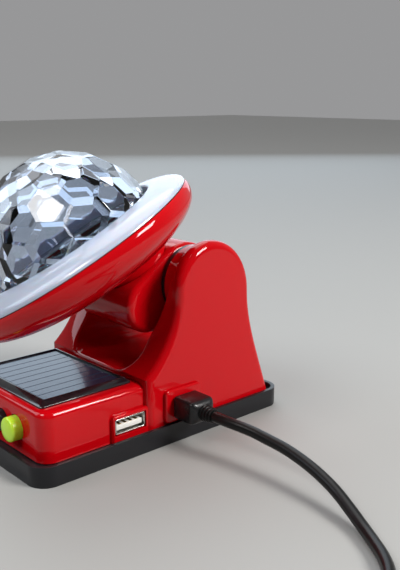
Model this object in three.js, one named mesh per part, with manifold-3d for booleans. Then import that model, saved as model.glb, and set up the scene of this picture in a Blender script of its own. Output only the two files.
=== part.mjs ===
// A portable disco light: a low red housing with a yoke on a black tray, and a tilting head
// with a white light ring and a turning crystal dome. Millimetres, +Z up, the buttons face -Y,
// the sockets face +X, and the origin is the middle of the tray's underside.

import * as THREE from 'three';
import { mergeVertices } from 'three/addons/utils/BufferGeometryUtils.js';
import Module from 'manifold-3d';

const wasm = await Module();
wasm.setup();

// Clearances and counts shared by all pieces
const fit = 0.3;
const overrun = 1;
const weldDistance = 0.0001;
const roundSides = 18;
const smallSides = 10;
const largeSides = 32;
const bevelSteps = 2;
const curveSteps = 6;

// Base tray
const trayLength = 114.5;
const trayWidth = 68;
const trayHeight = 7.2;
const trayCorner = 7;
const trayEdgeRound = 0.8;
const trayFloor = 2.6;
const trayRim = 1.5;
const trayLedge = 5.2;
const trayLedgeWidth = 6;
const ribThickness = 1.6;
const padRadius = 5;
const padDepth = 0.9;
const padFrontSetback = 25;
const padBackInset = 20;
const padSideInset = 9.5;

// Front box of the housing
const boxSideInset = 5;
const boxFrontInset = 5;
const boxCorner = 5.5;
const deckHeight = 23.5;
const deckRound = 2.6;
const wall = 2;

// Yoke: distances run from the tray's front edge, and heights from its underside
const yokeSideInset = 2.2;
const yokeStart = 46.5;
const yokeBackInset = 4.6;
const yokeEdgeRound = 3;
const yokeTopRadius = 16.7;
const yokeBackBulge = 2.6;
const yokeBackDrop = 4.5;
const flareFootRise = 1.9;
const frontStartShares = [0.48, 0.2];
const frontEndShares = [1, 0.57];
const backStartShares = [0, 0.3];
const backEndShares = [0.55, 0.62];
const pivotShare = 0.5;
const pivotHeight = 55;
const gapHalfWidth = 19.8;
const gapFloorRise = 1.4;
const gapCorner = 8;
const armTopThickness = 5.2;
const gapFlareStart = 37;
const gapFlareEnd = 61;
const armHollowTop = 44;

// Pivot: boss and washer at each arm, trunnion axles
const bossRadius = 14;
const washerThickness = 1.6;
const washerRadius = 13.6;
const axleRadius = 5;
const axleBore = 2.2;
const axleGripInArm = 5.5;
const axleGripInKnuckle = 6;

// Knuckle between the arms, its swivel axis and the set of the head on it
const knuckleHalfWidth = 17.1;
const knuckleRadius = 14.3;
const knuckleRound = 2.4;
const lobeRadius = 10.6;
const lobeForward = 17.6;
const lobeDrop = 7.4;
const swivelRise = 31.8;
const headLean = 35.2;
const swivelTurn = 32.2;
const headReach = 45;
const headOffset = 11.2;
const seatHeight = 12.5;
const collarRadius = 14.4;
const collarFlare = 4;
const collarFlareEnd = 30;
const spigotRadius = 6;
const spigotBore = 3.2;
const clipShoulder = 6;
const clipThickness = 1.5;
const clipRadius = 8.6;
const clipGroove = 1;
const spigotLip = 1.3;
const clipRoomDepth = 7;
const knuckleScrewOffset = 9.6;
const knuckleScrewSpread = 13.2;

// Head: radii about the dome's axis, heights from the seam between bowl and ring
const headRadius = 46;
const bowlDepth = 15;
const bowlWall = 2;
const bowlRadiusShares = [1, 1.01, 1.004, 0.96, 0.87, 0.761, 0.565, 0.348];
const bowlDepthShares = [0, 0.1, 0.27, 0.47, 0.66, 0.8, 0.933, 1];
const boardLedgeWidth = 3.6;
const boardLedgeDepth = 2;
const ringHeight = 4.9;
const ringWall = 1.6;
const ringWidth = 12.6;
const ringSpanShares = [1, 0.97, 0.85, 0.58, 0.3, 0.1, 0];
const ringRiseShares = [0, 0.26, 0.48, 0.76, 0.94, 1, 0.88];
const ringSkirtDepth = 1.4;
const boardThickness = 1;
const ringBoardInset = 2.6;
const ledSize = 3;
const ledHeight = 0.9;
const ringLedCount = 16;
const reflectorGap = 0.8;
const reflectorWell = 17;
const reflectorSlope = 3.6;
const reflectorThickness = 1.2;
const reflectorWellDepth = 6.2;
const reflectorRimDepth = 3.9;
const headPostRadius = 3;
const headPostShare = 0.4384;
const headPostCount = 3;

// Light engine and motor
const ledBoardRadius = 14.6;
const ledCircle = 8.6;
const ledRadius = 2.6;
const ledRim = 0.8;
const motorRadius = 12;
const motorTop = 6.5;
const motorBottom = 12.7;
const motorEarDepth = 8;
const motorEarThickness = 1;
const motorEarReach = 17.6;
const motorEarHalfWidth = 2.8;
const motorPostCircle = 15.6;
const motorPostRadius = 2.2;
const shaftRadius = 1.5;
const shaftBottom = 10.7;
const shaftTop = 2.3;

// Crystal dome and its carrier
const domeRingGap = 2.4;
const domeWall = 2.1;
const domeCentreHeight = 3.5;
const domeBottom = 0.9;
const domePhase = -60.3;
const facetTiers = [
  { colatitude: 0, count: 1, phase: 0 },
  { colatitude: 19, count: 7, phase: 0.25 },
  { colatitude: 38, count: 13, phase: 0 },
  { colatitude: 57, count: 13, phase: 0.5 },
  { colatitude: 77, count: 13, phase: 0 },
  { colatitude: 97, count: 13, phase: 0.5 },
];
const carrierRimWidth = 4;
const carrierOverhang = 0.5;
const carrierThickness = 1.2;
const carrierHubRadius = 4;
const carrierHubTop = 3.2;
const spokeCount = 3;
const spokeHalfWidth = 1.6;

// Solar panel: setbacks from the tray's front edge
const bezelSideInset = 9.5;
const bezelStart = 7.5;
const bezelYokeGap = 1.5;
const bezelCorner = 1.5;
const bezelHeight = 1.8;
const bezelChamfer = 1.4;
const bezelBorder = 1.6;
const bezelLipWall = 0.9;
const bezelLip = 1;
const panelThickness = 1.2;
const bezelFloor = 1;

// Sockets on the right side
const usbStart = 32;
const usbEnd = 48.3;
const usbBossTop = 15.8;
const usbBossProud = 1.7;
const bossChamfer = 0.8;
const usbShellWidth = 13.1;
const usbShellHeight = 5.7;
const usbShellLength = 14;
const usbShellWall = 0.5;
const usbShellCentre = 39.5;
const usbTongueRise = 0.8;
const usbTongueHeight = 1.9;
const usbTongueLength = 12.8;
const usbTongueSideGap = 0.9;
const chargeStart = 53.5;
const chargeEnd = 70.5;
const chargeBossTop = 20;
const chargeBossFoot = 7.6;
const chargeBossProud = 1.5;
const chargeHeight = 13.5;
const chargeSocketLength = 9;
const chargeSocketWidth = 12;
const chargeSocketTop = 17.6;

// Board, battery and switches inside
const boardFoot = 6.6;
const boardDepth = 1.6;
const boardInnerX = 10.5;
const boardSideGap = 1;
const boardStart = 17;
const boardReach = 3.5;
const batteryGap = 0.35;
const batteryStart = 20;
const batteryBackInset = 29.5;
const batteryX = -9;
const batteryTipRadius = 3;
const batteryTipLength = 1;
const switchBoardStart = 13.5;
const switchBoardLeft = -4;
const switchBoardRight = 19;
const switchBoardTopGap = 1;
const switchSize = 6;

// Push buttons on the front face
const buttonLowering = 0.5;
const powerButtonX = 11.9;
const powerButtonRadius = 4.35;
const modeButtonX = 2.4;
const modeButtonRadius = 3.7;
const buttonProud = 4.2;
const modeButtonProud = 2.6;
const buttonTravel = 1.2;
const buttonRound = 0.7;
const buttonFlange = 0.55;
const buttonFlangeThickness = 1;
const buttonStemRadius = 1.4;

// Screws
const screwRadius = 1.15;
const screwHeadRadius = 2.3;
const screwHeadHeight = 1;
const screwLength = 9;
const postRadius = 3;
const frontPostX = 22.6;
const frontPostSetback = 11.8;
const backPostSideInset = 18;
const backPostInset = 17;
const smallScrewLength = 5.5;

// Charging plug and lead
const plugLength = 11;
const plugWidth = 11;
const plugHeight = 8.6;
const plugChamfer = 1.1;
const plugTipWidth = 8.4;
const plugTipHeight = 2.8;
const plugTipLength = 8.5;
const reliefRadius = 3.1;
const reliefEndRadius = 2.6;
const reliefLength = 4.6;
const reliefRibs = 3;
const leadDiameter = 3.9;
const leadSides = 8;
const leadSteps = 16;
const tailSteps = 5;
const coilPitch = 4.4;
const coilTurns = 5.5;
const coilMiddleRadius = 21.5;
const coilStepsPerTurn = 24;
const coilSides = 6;
const coilClimbTurns = 0.5;
const tieThickness = 0.5;
const tieWidth = 4;
const tieTurns = [0.25, 0.75];

// Far-end plug of the lead
const farReliefLength = 8;
const farPlugLength = 22;
const farPlugWidth = 15.6;
const farPlugHeight = 8;
const farPlugChamfer = 1.2;
const farShellWidth = 12;
const farShellHeight = 4.5;
const farShellLength = 18.7;
const tailLength = 15;

// The lead's route from the plug to its coil, chosen by hand along what the photograph shows
const leadRoute = [
  [49.6, 4.75, 13.5],
  [53.6, 4.75, 13.5],
  [58.6, 5.4, 13.3],
  [65.5, 6.9, 12.6],
  [72.0, 7.7, 11.7],
  [79.0, 8.1, 10.9],
  [85.2, 8.0, 9.9],
  [91.4, 7.4, 8.8],
  [96.6, 6.6, 7.7],
  [101.7, 5.5, 6.5],
  [106.2, 4.2, 5.3],
  [110.9, 2.4, 4.1],
  [115.2, 0.6, 3.1],
  [119.6, -1.5, 2.3],
  [125.0, -4.6, 1.96],
  [130.5, -8.3, 1.96],
  [135.6, -13.0, 1.96],
  [139.6, -18.8, 1.96],
  [142.1, -25.2, 2.05],
  [143.3, -32.0, 2.3],
  [143.6, -38.5, 2.65],
  [143.6, -45.0, 2.75],
];
const coilEntry = [143.6, -45.3, 2.75];

// Colours of the finishes
const finish = {
  red: { color: 0xc00a12, roughness: 0.14 },
  white: { color: 0xe9edf4, roughness: 0.18 },
  blackPlastic: { color: 0x17181a, roughness: 0.55 },
  blackGloss: { color: 0x0c0d0f, roughness: 0.2 },
  rubber: { color: 0x1b1b1c, roughness: 0.85 },
  crystal: { color: 0xeef5fb, roughness: 0.03, transparent: true, opacity: 0.35 },
  clear: { color: 0xe6eef2, roughness: 0.08, transparent: true, opacity: 0.6 },
  solar: { color: 0x10172a, roughness: 0.25 },
  lime: { color: 0x9fd21a, roughness: 0.35 },
  steel: { color: 0xb9bcc0, roughness: 0.3, metalness: 1 },
  board: { color: 0x1c6b3b, roughness: 0.5 },
  whiteBoard: { color: 0xf0f1ee, roughness: 0.5 },
  cell: { color: 0x2f6fb5, roughness: 0.4 },
  ledRed: { color: 0xd8402f, roughness: 0.2 },
  ledGreen: { color: 0x3fbf5a, roughness: 0.2 },
  ledBlue: { color: 0x3f66d8, roughness: 0.2 },
  ledWhite: { color: 0xf2eccb, roughness: 0.2 },
};

// Places worked out from the sizes above
const front = -trayLength / 2;
const setback = (distance) => front + distance;
const boxHalfWidth = trayWidth / 2 - boxSideInset;
const yokeHalfWidth = trayWidth / 2 - yokeSideInset;
const yokeBack = trayLength / 2 - yokeBackInset;
const yokeLength = trayLength - yokeStart - yokeBackInset;
const pivotSetback = yokeStart + pivotShare * yokeLength;
const housingFoot = trayLedge + fit;
const flareFoot = deckHeight + flareFootRise;
const gapFloor = deckHeight + gapFloorRise;
const gapTopHalfWidth = yokeHalfWidth - armTopThickness;
const backPostX = trayWidth / 2 - backPostSideInset;
const buttonHeight = (housingFoot + deckHeight) / 2 - buttonLowering;
const switchBoardTop = deckHeight - wall - switchBoardTopGap;
const bezelEnd = yokeStart - bezelYokeGap;
const boardEnd = chargeEnd + boardReach;
const batteryRadius = (deckHeight - wall - trayFloor) / 2 - batteryGap;
const batteryLength = trayLength - batteryBackInset - batteryStart;
const ringInner = headRadius - ringWidth;
const ringBoardInner = ringInner + ringBoardInset;
const reflectorRadius = ringBoardInner - reflectorGap;
const domeRadius = ringInner - domeRingGap;
const carrierRimOuter = domeRadius + carrierOverhang;
const carrierRimInner = carrierRimOuter - carrierRimWidth;
const pivot = new THREE.Vector3(0, setback(pivotSetback), pivotHeight);
const axisX = new THREE.Vector3(1, 0, 0);
const axisY = new THREE.Vector3(0, 1, 0);
const axisZ = new THREE.Vector3(0, 0, 1);
const radians = THREE.MathUtils.degToRad;

// A geometry becomes a solid once its shared corners are merged and its faces point outwards
function solidOf(geometry) {
  const bare = geometry.clone();
  bare.deleteAttribute('normal');
  bare.deleteAttribute('uv');
  const merged = mergeVertices(bare, weldDistance);
  const place = merged.attributes.position;
  const corners = [];
  for (let i = 0; i < merged.index.count; i += 3) {
    const face = [0, 1, 2].map((k) => merged.index.getX(i + k));
    if (new Set(face).size === 3) corners.push(face);
  }
  const [a, b, c] = [new THREE.Vector3(), new THREE.Vector3(), new THREE.Vector3()];
  let volume = 0;
  for (const face of corners) {
    a.fromBufferAttribute(place, face[0]);
    b.fromBufferAttribute(place, face[1]);
    c.fromBufferAttribute(place, face[2]);
    volume += a.dot(b.cross(c));
  }
  const turned = volume < 0 ? corners.map(([i, j, k]) => [i, k, j]) : corners;
  const vertProperties = new Float32Array(place.array);
  const triVerts = new Uint32Array(turned.flat());
  return new wasm.Manifold(new wasm.Mesh({ numProp: 3, vertProperties, triVerts }));
}

function geometryOf(solid) {
  const { vertProperties, triVerts } = solid.getMesh();
  const geometry = new THREE.BufferGeometry();
  geometry.setAttribute('position', new THREE.BufferAttribute(vertProperties, 3));
  geometry.setIndex(new THREE.BufferAttribute(triVerts, 1));
  geometry.computeVertexNormals();
  return geometry;
}

function placed(solid, matrix) {
  return solid.transform(matrix.elements);
}

function joined(...solids) {
  return solids.reduce((all, next) => all.add(next));
}

function block([x0, x1], [y0, y1], [z0, z1]) {
  const geometry = new THREE.BoxGeometry(x1 - x0, y1 - y0, z1 - z0);
  geometry.translate((x0 + x1) / 2, (y0 + y1) / 2, (z0 + z1) / 2);
  return solidOf(geometry);
}

// A round bar from one point to another, with an optional other radius at the far end
function bar(from, to, radius, farRadius = radius, sides = roundSides) {
  const along = new THREE.Vector3().subVectors(to, from);
  const geometry = new THREE.CylinderGeometry(farRadius, radius, along.length(), sides);
  geometry.translate(0, along.length() / 2, 0);
  const turn = new THREE.Quaternion().setFromUnitVectors(axisY, along.normalize());
  geometry.applyQuaternion(turn);
  geometry.translate(from.x, from.y, from.z);
  return solidOf(geometry);
}

function upright(x, y, z0, z1, radius, sides = roundSides) {
  return bar(new THREE.Vector3(x, y, z0), new THREE.Vector3(x, y, z1), radius, radius, sides);
}

// A profile of [radius, height] points turned about +Z
function turnedAbout(profile, sides = largeSides) {
  const points = profile.map(([radius, height]) => new THREE.Vector2(radius, height));
  const geometry = new THREE.LatheGeometry(points, sides);
  geometry.rotateX(Math.PI / 2);
  return solidOf(geometry);
}

// A closed ring with a rectangular section about +Z
function annulus(inner, outer, z0, z1, sides = largeSides) {
  return turnedAbout([[inner, z0], [outer, z0], [outer, z1], [inner, z1], [inner, z0]], sides);
}

// An outline pushed along +Z, its edges rounded inwards by the given size
function pushed(shape, depth, round = 0, steps = bevelSteps) {
  const geometry = new THREE.ExtrudeGeometry(shape, {
    depth: depth - 2 * round,
    curveSegments: curveSteps,
    bevelEnabled: round > 0,
    bevelSize: round,
    bevelThickness: round,
    bevelOffset: -round,
    bevelSegments: steps,
  });
  geometry.translate(0, 0, round);
  return solidOf(geometry);
}

function roundedRectangle(halfX, y0, y1, corner) {
  const shape = new THREE.Shape();
  shape.absarc(halfX - corner, y0 + corner, corner, -Math.PI / 2, 0);
  shape.absarc(halfX - corner, y1 - corner, corner, 0, Math.PI / 2);
  shape.absarc(corner - halfX, y1 - corner, corner, Math.PI / 2, Math.PI);
  shape.absarc(corner - halfX, y0 + corner, corner, Math.PI, 1.5 * Math.PI);
  shape.closePath();
  return shape;
}

// Shapes drawn in Y and Z are pushed along X by this basis, and shapes in X and Z along Y by the next
const alongX = new THREE.Matrix4().makeBasis(axisY, axisZ, axisX);
const alongY = new THREE.Matrix4().makeBasis(axisX, axisZ, axisY.clone().negate());

function acrossX(shape, halfWidth, round = 0, steps = bevelSteps) {
  const toMiddle = new THREE.Matrix4().makeTranslation(-halfWidth, 0, 0).multiply(alongX);
  return placed(pushed(shape, 2 * halfWidth, round, steps), toMiddle);
}

// The model's groups: base, tilting knuckle, swivelling head, turning dome
const light = new THREE.Group();
const tilting = new THREE.Group();
const swivelling = new THREE.Group();
const head = new THREE.Group();
const turning = new THREE.Group();

const swivelAxis = new THREE.Vector3(0, -Math.cos(radians(swivelRise)), Math.sin(radians(swivelRise)));
const swivelUp = new THREE.Vector3(0, Math.sin(radians(swivelRise)), Math.cos(radians(swivelRise)));
const headCentre = new THREE.Vector3()
  .addScaledVector(swivelAxis, headReach)
  .addScaledVector(swivelUp, -headOffset);
const headTilt = Math.PI / 2 - radians(swivelRise + headLean);

light.add(tilting);
tilting.position.copy(pivot);
tilting.add(swivelling);
swivelling.setRotationFromAxisAngle(swivelAxis, radians(swivelTurn));
swivelling.add(head);
head.position.copy(headCentre);
head.rotation.x = headTilt;
head.add(turning);
turning.rotation.z = radians(domePhase);
head.updateMatrix();
const intoHead = head.matrix.clone().invert();

function addPiece(name, solid, look, group = light, position = null) {
  const mesh = new THREE.Mesh(geometryOf(solid), new THREE.MeshStandardMaterial(look));
  mesh.name = name;
  if (position) mesh.position.copy(position);
  group.add(mesh);
  return mesh;
}

// Base tray: a floor, a ledge that the housing stands on, and a thin rim round it
const postPlaces = [
  [frontPostX, setback(frontPostSetback), deckHeight - wall / 2],
  [-frontPostX, setback(frontPostSetback), deckHeight - wall / 2],
  [backPostX, trayLength / 2 - backPostInset, gapFloor - wall / 2],
  [-backPostX, trayLength / 2 - backPostInset, gapFloor - wall / 2],
];
const padPlaces = [
  [trayWidth / 2 - padSideInset, setback(padFrontSetback)],
  [padSideInset - trayWidth / 2, setback(padFrontSetback)],
  [trayWidth / 2 - padSideInset, trayLength / 2 - padBackInset],
  [padSideInset - trayWidth / 2, trayLength / 2 - padBackInset],
];

function trayOutline(inset) {
  const corner = Math.max(trayCorner - inset, trayRim);
  return roundedRectangle(trayWidth / 2 - inset, front + inset, trayLength / 2 - inset, corner);
}

function trayPocket(inset, foot) {
  const pocket = pushed(trayOutline(inset), trayHeight + overrun - foot);
  return pocket.translate([0, 0, foot]);
}

function makeTray() {
  let tray = pushed(trayOutline(0), trayHeight + trayEdgeRound, trayEdgeRound, 1);
  tray = tray.translate([0, 0, -trayEdgeRound]);
  const ground = block([-trayWidth, trayWidth], [-trayLength, trayLength], [-2 * trayEdgeRound, 0]);
  tray = tray.subtract(ground);
  tray = tray.subtract(trayPocket(trayRim, trayLedge));
  tray = tray.subtract(trayPocket(trayRim + trayLedgeWidth, trayFloor));
  const ribTop = boardFoot - fit;
  const boardMiddle = (setback(boardStart) + setback(boardEnd)) / 2;
  for (const y of [setback(boardStart) + ribThickness, boardMiddle, setback(boardEnd) - ribThickness]) {
    const right = boxHalfWidth - wall - boardSideGap;
    const ribSpan = [y - ribThickness / 2, y + ribThickness / 2];
    tray = tray.add(block([boardInnerX, right], ribSpan, [trayFloor / 2, ribTop]));
  }
  for (const side of [-1, 1]) {
    const x = batteryX + side * (batteryRadius + fit + ribThickness / 2);
    const span = [setback(batteryStart), setback(batteryStart + batteryLength)];
    const ribSpan = [x - ribThickness / 2, x + ribThickness / 2];
    tray = tray.add(block(ribSpan, span, [trayFloor / 2, batteryRadius]));
  }
  const switchRib = setback(switchBoardStart) + boardDepth / 2;
  const switchSpan = [switchBoardLeft, switchBoardRight];
  const switchRibSpan = [switchRib - ribThickness, switchRib + ribThickness];
  tray = tray.add(block(switchSpan, switchRibSpan, [trayFloor / 2, boardFoot - fit]));
  for (const [x, y] of padPlaces) {
    tray = tray.subtract(upright(x, y, -overrun, padDepth + fit, padRadius + fit));
  }
  for (const [x, y] of postPlaces) {
    const sinkTop = screwHeadHeight + 2 * fit;
    tray = tray.subtract(upright(x, y, -overrun, sinkTop, screwHeadRadius + fit, smallSides));
    tray = tray.subtract(upright(x, y, -overrun, trayHeight, screwRadius + fit, smallSides));
  }
  return tray;
}

addPiece('base_tray', makeTray(), finish.blackPlastic);
padPlaces.forEach(([x, y], i) => {
  const pad = upright(0, 0, 0, padDepth, padRadius);
  addPiece(`rubber_pad_${i + 1}`, pad, finish.rubber, light, new THREE.Vector3(x, y, 0));
});

function makeScrew(length) {
  const headPart = upright(0, 0, 0, screwHeadHeight, screwHeadRadius, smallSides);
  const shank = upright(0, 0, screwHeadHeight / 2, length, screwRadius, smallSides);
  const recess = block(
    [-screwHeadRadius / 2, screwHeadRadius / 2],
    [-screwRadius / 4, screwRadius / 4],
    [-overrun, screwHeadHeight / 2],
  );
  return headPart.add(shank).subtract(recess);
}

postPlaces.forEach(([x, y], i) => {
  const place = new THREE.Vector3(x, y, fit);
  addPiece(`tray_screw_${i + 1}`, makeScrew(screwLength), finish.steel, light, place);
});

// Housing: the yoke's outline seen from the side, with a flare at its front and back
function yokeOutline(inset) {
  const frontY = setback(yokeStart) + inset;
  const backY = yokeBack - inset;
  const radius = yokeTopRadius - inset;
  const footZ = flareFoot - inset;
  const waistFront = pivot.y - radius;
  const waistBack = pivot.y + radius + yokeBackBulge;
  const waistBackHeight = pivot.z - yokeBackDrop;
  const frontPoint = ([run, rise]) => [
    frontY + run * (waistFront - frontY),
    footZ + rise * (pivot.z - footZ),
  ];
  const backPoint = ([run, fall]) => [
    waistBack + run * (backY - waistBack),
    waistBackHeight - fall * (waistBackHeight - housingFoot),
  ];
  const outlineFoot = housingFoot - 2 * yokeEdgeRound - overrun;
  const shape = new THREE.Shape();
  shape.moveTo(backY, outlineFoot);
  shape.lineTo(frontY, outlineFoot);
  shape.lineTo(frontY, footZ);
  shape.bezierCurveTo(...frontPoint(frontStartShares), ...frontPoint(frontEndShares), waistFront, pivot.z);
  shape.absarc(pivot.y, pivot.z, radius, Math.PI, Math.PI / 2, true);
  const bulge = radius + yokeBackBulge;
  const drop = radius + yokeBackDrop;
  shape.absellipse(pivot.y, waistBackHeight, bulge, drop, Math.PI / 2, 0, true);
  shape.bezierCurveTo(...backPoint(backStartShares), ...backPoint(backEndShares), backY, housingFoot);
  shape.closePath();
  return shape;
}

// The gap between the arms, seen from the front: flat floor, round corners, wider towards the top
function gapOutline(grow) {
  const half = gapHalfWidth + grow;
  const topHalf = gapTopHalfWidth + grow;
  const floor = gapFloor - grow;
  const corner = gapCorner + grow;
  const top = pivot.z + yokeTopRadius + overrun;
  const shape = new THREE.Shape();
  shape.absarc(half - corner, floor + corner, corner, -Math.PI / 2, 0);
  shape.lineTo(half, gapFlareStart);
  shape.lineTo(topHalf, gapFlareEnd);
  shape.lineTo(topHalf, top);
  shape.lineTo(-topHalf, top);
  shape.lineTo(-topHalf, gapFlareEnd);
  shape.lineTo(-half, gapFlareStart);
  shape.absarc(corner - half, floor + corner, corner, Math.PI, 1.5 * Math.PI);
  shape.closePath();
  return shape;
}

function gapSolid(grow) {
  const solid = placed(pushed(gapOutline(grow), trayLength), alongY);
  return solid.translate([0, trayLength / 2 + yokeEdgeRound, 0]);
}

function sideBoss(x0, x1, y0, y1, z0, z1) {
  const shape = new THREE.Shape();
  shape.moveTo(y0, z0);
  shape.lineTo(y1, z0);
  shape.lineTo(y1, z1);
  shape.lineTo(y0, z1);
  shape.closePath();
  const depth = x1 - x0 + bossChamfer;
  const solid = placed(pushed(shape, depth, bossChamfer, 1), alongX);
  return solid.translate([x0 - bossChamfer, 0, 0]);
}

const usbCentreY = setback(usbShellCentre);
const usbFoot = boardFoot + boardDepth + fit;
const chargeCentreY = (setback(chargeStart) + setback(chargeEnd)) / 2;
const boardRight = boxHalfWidth - wall - boardSideGap;
const bezelHalfX = trayWidth / 2 - bezelSideInset;
const buttonFace = front + boxFrontInset;

function makeBoxOuter(inset) {
  const yEnd = setback(yokeStart) + yokeEdgeRound + wall;
  const shape = roundedRectangle(boxHalfWidth - inset, buttonFace + inset, yEnd, boxCorner - inset);
  const round = deckRound - inset / 2;
  const foot = housingFoot - deckRound - overrun;
  return pushed(shape, deckHeight - inset - foot, round).translate([0, 0, foot]);
}

function makeHousing() {
  const belowFoot = block([-trayWidth, trayWidth], [-trayLength, trayLength], [-trayLength, housingFoot]);
  let shell = makeBoxOuter(0).add(acrossX(yokeOutline(0), yokeHalfWidth, yokeEdgeRound));
  shell = shell.subtract(gapSolid(0));
  const bossEnd = gapHalfWidth - fit / 2;
  for (const side of [-1, 1]) {
    const from = new THREE.Vector3(side * bossEnd, pivot.y, pivot.z);
    const to = new THREE.Vector3(side * (yokeHalfWidth - yokeEdgeRound), pivot.y, pivot.z);
    shell = shell.add(bar(from, to, bossRadius));
  }
  shell = shell.add(sideBoss(
    boxHalfWidth - wall / 2, boxHalfWidth + usbBossProud,
    setback(usbStart), setback(usbEnd), housingFoot - bossChamfer - overrun, usbBossTop,
  ));
  shell = shell.add(sideBoss(
    yokeHalfWidth - wall / 2, yokeHalfWidth + chargeBossProud,
    setback(chargeStart), setback(chargeEnd), chargeBossFoot, chargeBossTop,
  ));

  const belowHollowTop = block(
    [-trayWidth, trayWidth], [-trayLength, trayLength], [-trayLength, armHollowTop],
  );
  let hollow = acrossX(yokeOutline(wall), yokeHalfWidth - wall, yokeEdgeRound - wall, 1);
  hollow = hollow.subtract(gapSolid(wall)).intersect(belowHollowTop);
  hollow = hollow.add(makeBoxOuter(wall));
  shell = shell.subtract(hollow).subtract(belowFoot);

  for (const [x, y, ceiling] of postPlaces) {
    shell = shell.add(upright(x, y, trayFloor + fit, ceiling, postRadius));
    shell = shell.subtract(upright(x, y, 0, screwLength + 2 * fit, screwRadius + fit, smallSides));
  }
  for (const side of [-1, 1]) {
    const from = new THREE.Vector3(side * (bossEnd - overrun), pivot.y, pivot.z);
    const to = new THREE.Vector3(side * (bossEnd + axleGripInArm + fit), pivot.y, pivot.z);
    shell = shell.subtract(bar(from, to, axleRadius + fit));
  }
  const openingHalfX = bezelHalfX - bezelBorder;
  shell = shell.subtract(block(
    [-openingHalfX, openingHalfX],
    [setback(bezelStart) + bezelBorder, setback(bezelEnd) - bezelBorder],
    [deckHeight - 2 * wall, deckHeight + overrun],
  ));
  shell = shell.subtract(block(
    [boxHalfWidth - 2 * wall, trayWidth],
    [usbCentreY - usbShellWidth / 2 - fit, usbCentreY + usbShellWidth / 2 + fit],
    [usbFoot - fit, usbFoot + usbShellHeight + fit],
  ));
  shell = shell.subtract(block(
    [yokeHalfWidth - 2 * wall, trayWidth],
    [chargeCentreY - plugTipWidth / 2 - fit, chargeCentreY + plugTipWidth / 2 + fit],
    [chargeHeight - plugTipHeight / 2 - fit, chargeHeight + plugTipHeight / 2 + fit],
  ));
  for (const [x, radius] of [[powerButtonX, powerButtonRadius], [modeButtonX, modeButtonRadius]]) {
    const from = new THREE.Vector3(x, buttonFace - overrun, buttonHeight);
    const to = new THREE.Vector3(x, buttonFace + 2 * wall, buttonHeight);
    shell = shell.subtract(bar(from, to, radius + fit));
  }
  return shell;
}

addPiece('base_housing', makeHousing(), finish.red);

// Solar panel in its bevelled frame
const pocketInset = bezelBorder + fit + bezelLipWall;
function makeBezel() {
  const y0 = setback(bezelStart);
  const y1 = setback(bezelEnd);
  const foot = deckHeight + fit;
  const outline = roundedRectangle(bezelHalfX, y0, y1, bezelCorner);
  let bezel = pushed(outline, bezelHeight + bezelChamfer, bezelChamfer, 1);
  bezel = bezel.translate([0, 0, foot - bezelChamfer]);
  bezel = bezel.subtract(block([-trayWidth, trayWidth], [-trayLength, trayLength], [0, foot]));
  const lipInset = bezelBorder + fit;
  bezel = bezel.add(block(
    [lipInset - bezelHalfX, bezelHalfX - lipInset],
    [y0 + lipInset, y1 - lipInset],
    [deckHeight - bezelLip, foot + bezelFloor / 2],
  ));
  bezel = bezel.subtract(block(
    [pocketInset - bezelHalfX, bezelHalfX - pocketInset],
    [y0 + pocketInset, y1 - pocketInset],
    [deckHeight - bezelLip + bezelFloor, foot + bezelHeight + overrun],
  ));
  const wireHole = upright(0, y1 - 4 * bezelBorder, 0, deckHeight + overrun, bezelBorder / 2, smallSides);
  return bezel.subtract(wireHole);
}

addPiece('solar_bezel', makeBezel(), finish.blackGloss);
const panelInset = pocketInset + fit;
const panelRest = deckHeight - bezelLip + bezelFloor + fit;
addPiece('solar_panel', block(
  [panelInset - bezelHalfX, bezelHalfX - panelInset],
  [setback(bezelStart) + panelInset, setback(bezelEnd) - panelInset],
  [panelRest, panelRest + panelThickness],
), finish.solar);

// USB output socket
function makeUsbShell() {
  const x1 = boxHalfWidth + usbBossProud - fit;
  const x0 = x1 - usbShellLength;
  const y0 = usbCentreY - usbShellWidth / 2;
  const y1 = usbCentreY + usbShellWidth / 2;
  const outer = block([x0, x1], [y0, y1], [usbFoot, usbFoot + usbShellHeight]);
  return outer.subtract(block(
    [x0 + usbShellWall, x1 + overrun],
    [y0 + usbShellWall, y1 - usbShellWall],
    [usbFoot + usbShellWall, usbFoot + usbShellHeight - usbShellWall],
  ));
}

addPiece('usb_port_shell', makeUsbShell(), finish.steel);
const tongueBack = boxHalfWidth + usbBossProud - usbShellLength + usbShellWall;
const tongueFoot = usbFoot + usbShellWall + usbTongueRise;
addPiece('usb_port_tongue', block(
  [tongueBack, tongueBack + usbTongueLength],
  [usbCentreY - usbShellWidth / 2 + usbTongueSideGap, usbCentreY + usbShellWidth / 2 - usbTongueSideGap],
  [tongueFoot, tongueFoot + usbTongueHeight],
), finish.white);

// Charge socket behind the right arm's foot
const socketFace = yokeHalfWidth - wall - fit;
function makeChargeSocket() {
  const halfWidth = chargeSocketWidth / 2;
  const foot = boardFoot + boardDepth + fit;
  const body = block(
    [socketFace - chargeSocketLength, socketFace],
    [chargeCentreY - halfWidth, chargeCentreY + halfWidth],
    [foot, chargeSocketTop],
  );
  return body.subtract(block(
    [socketFace - chargeSocketLength + wall, socketFace + overrun],
    [chargeCentreY - plugTipWidth / 2 - fit, chargeCentreY + plugTipWidth / 2 + fit],
    [chargeHeight - plugTipHeight / 2 - fit, chargeHeight + plugTipHeight / 2 + fit],
  ));
}

addPiece('charge_socket', makeChargeSocket(), finish.blackPlastic);

// Main board, battery and switches
addPiece('main_board', block(
  [boardInnerX, boardRight], [setback(boardStart), setback(boardEnd)], [boardFoot, boardFoot + boardDepth],
), finish.board);

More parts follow.
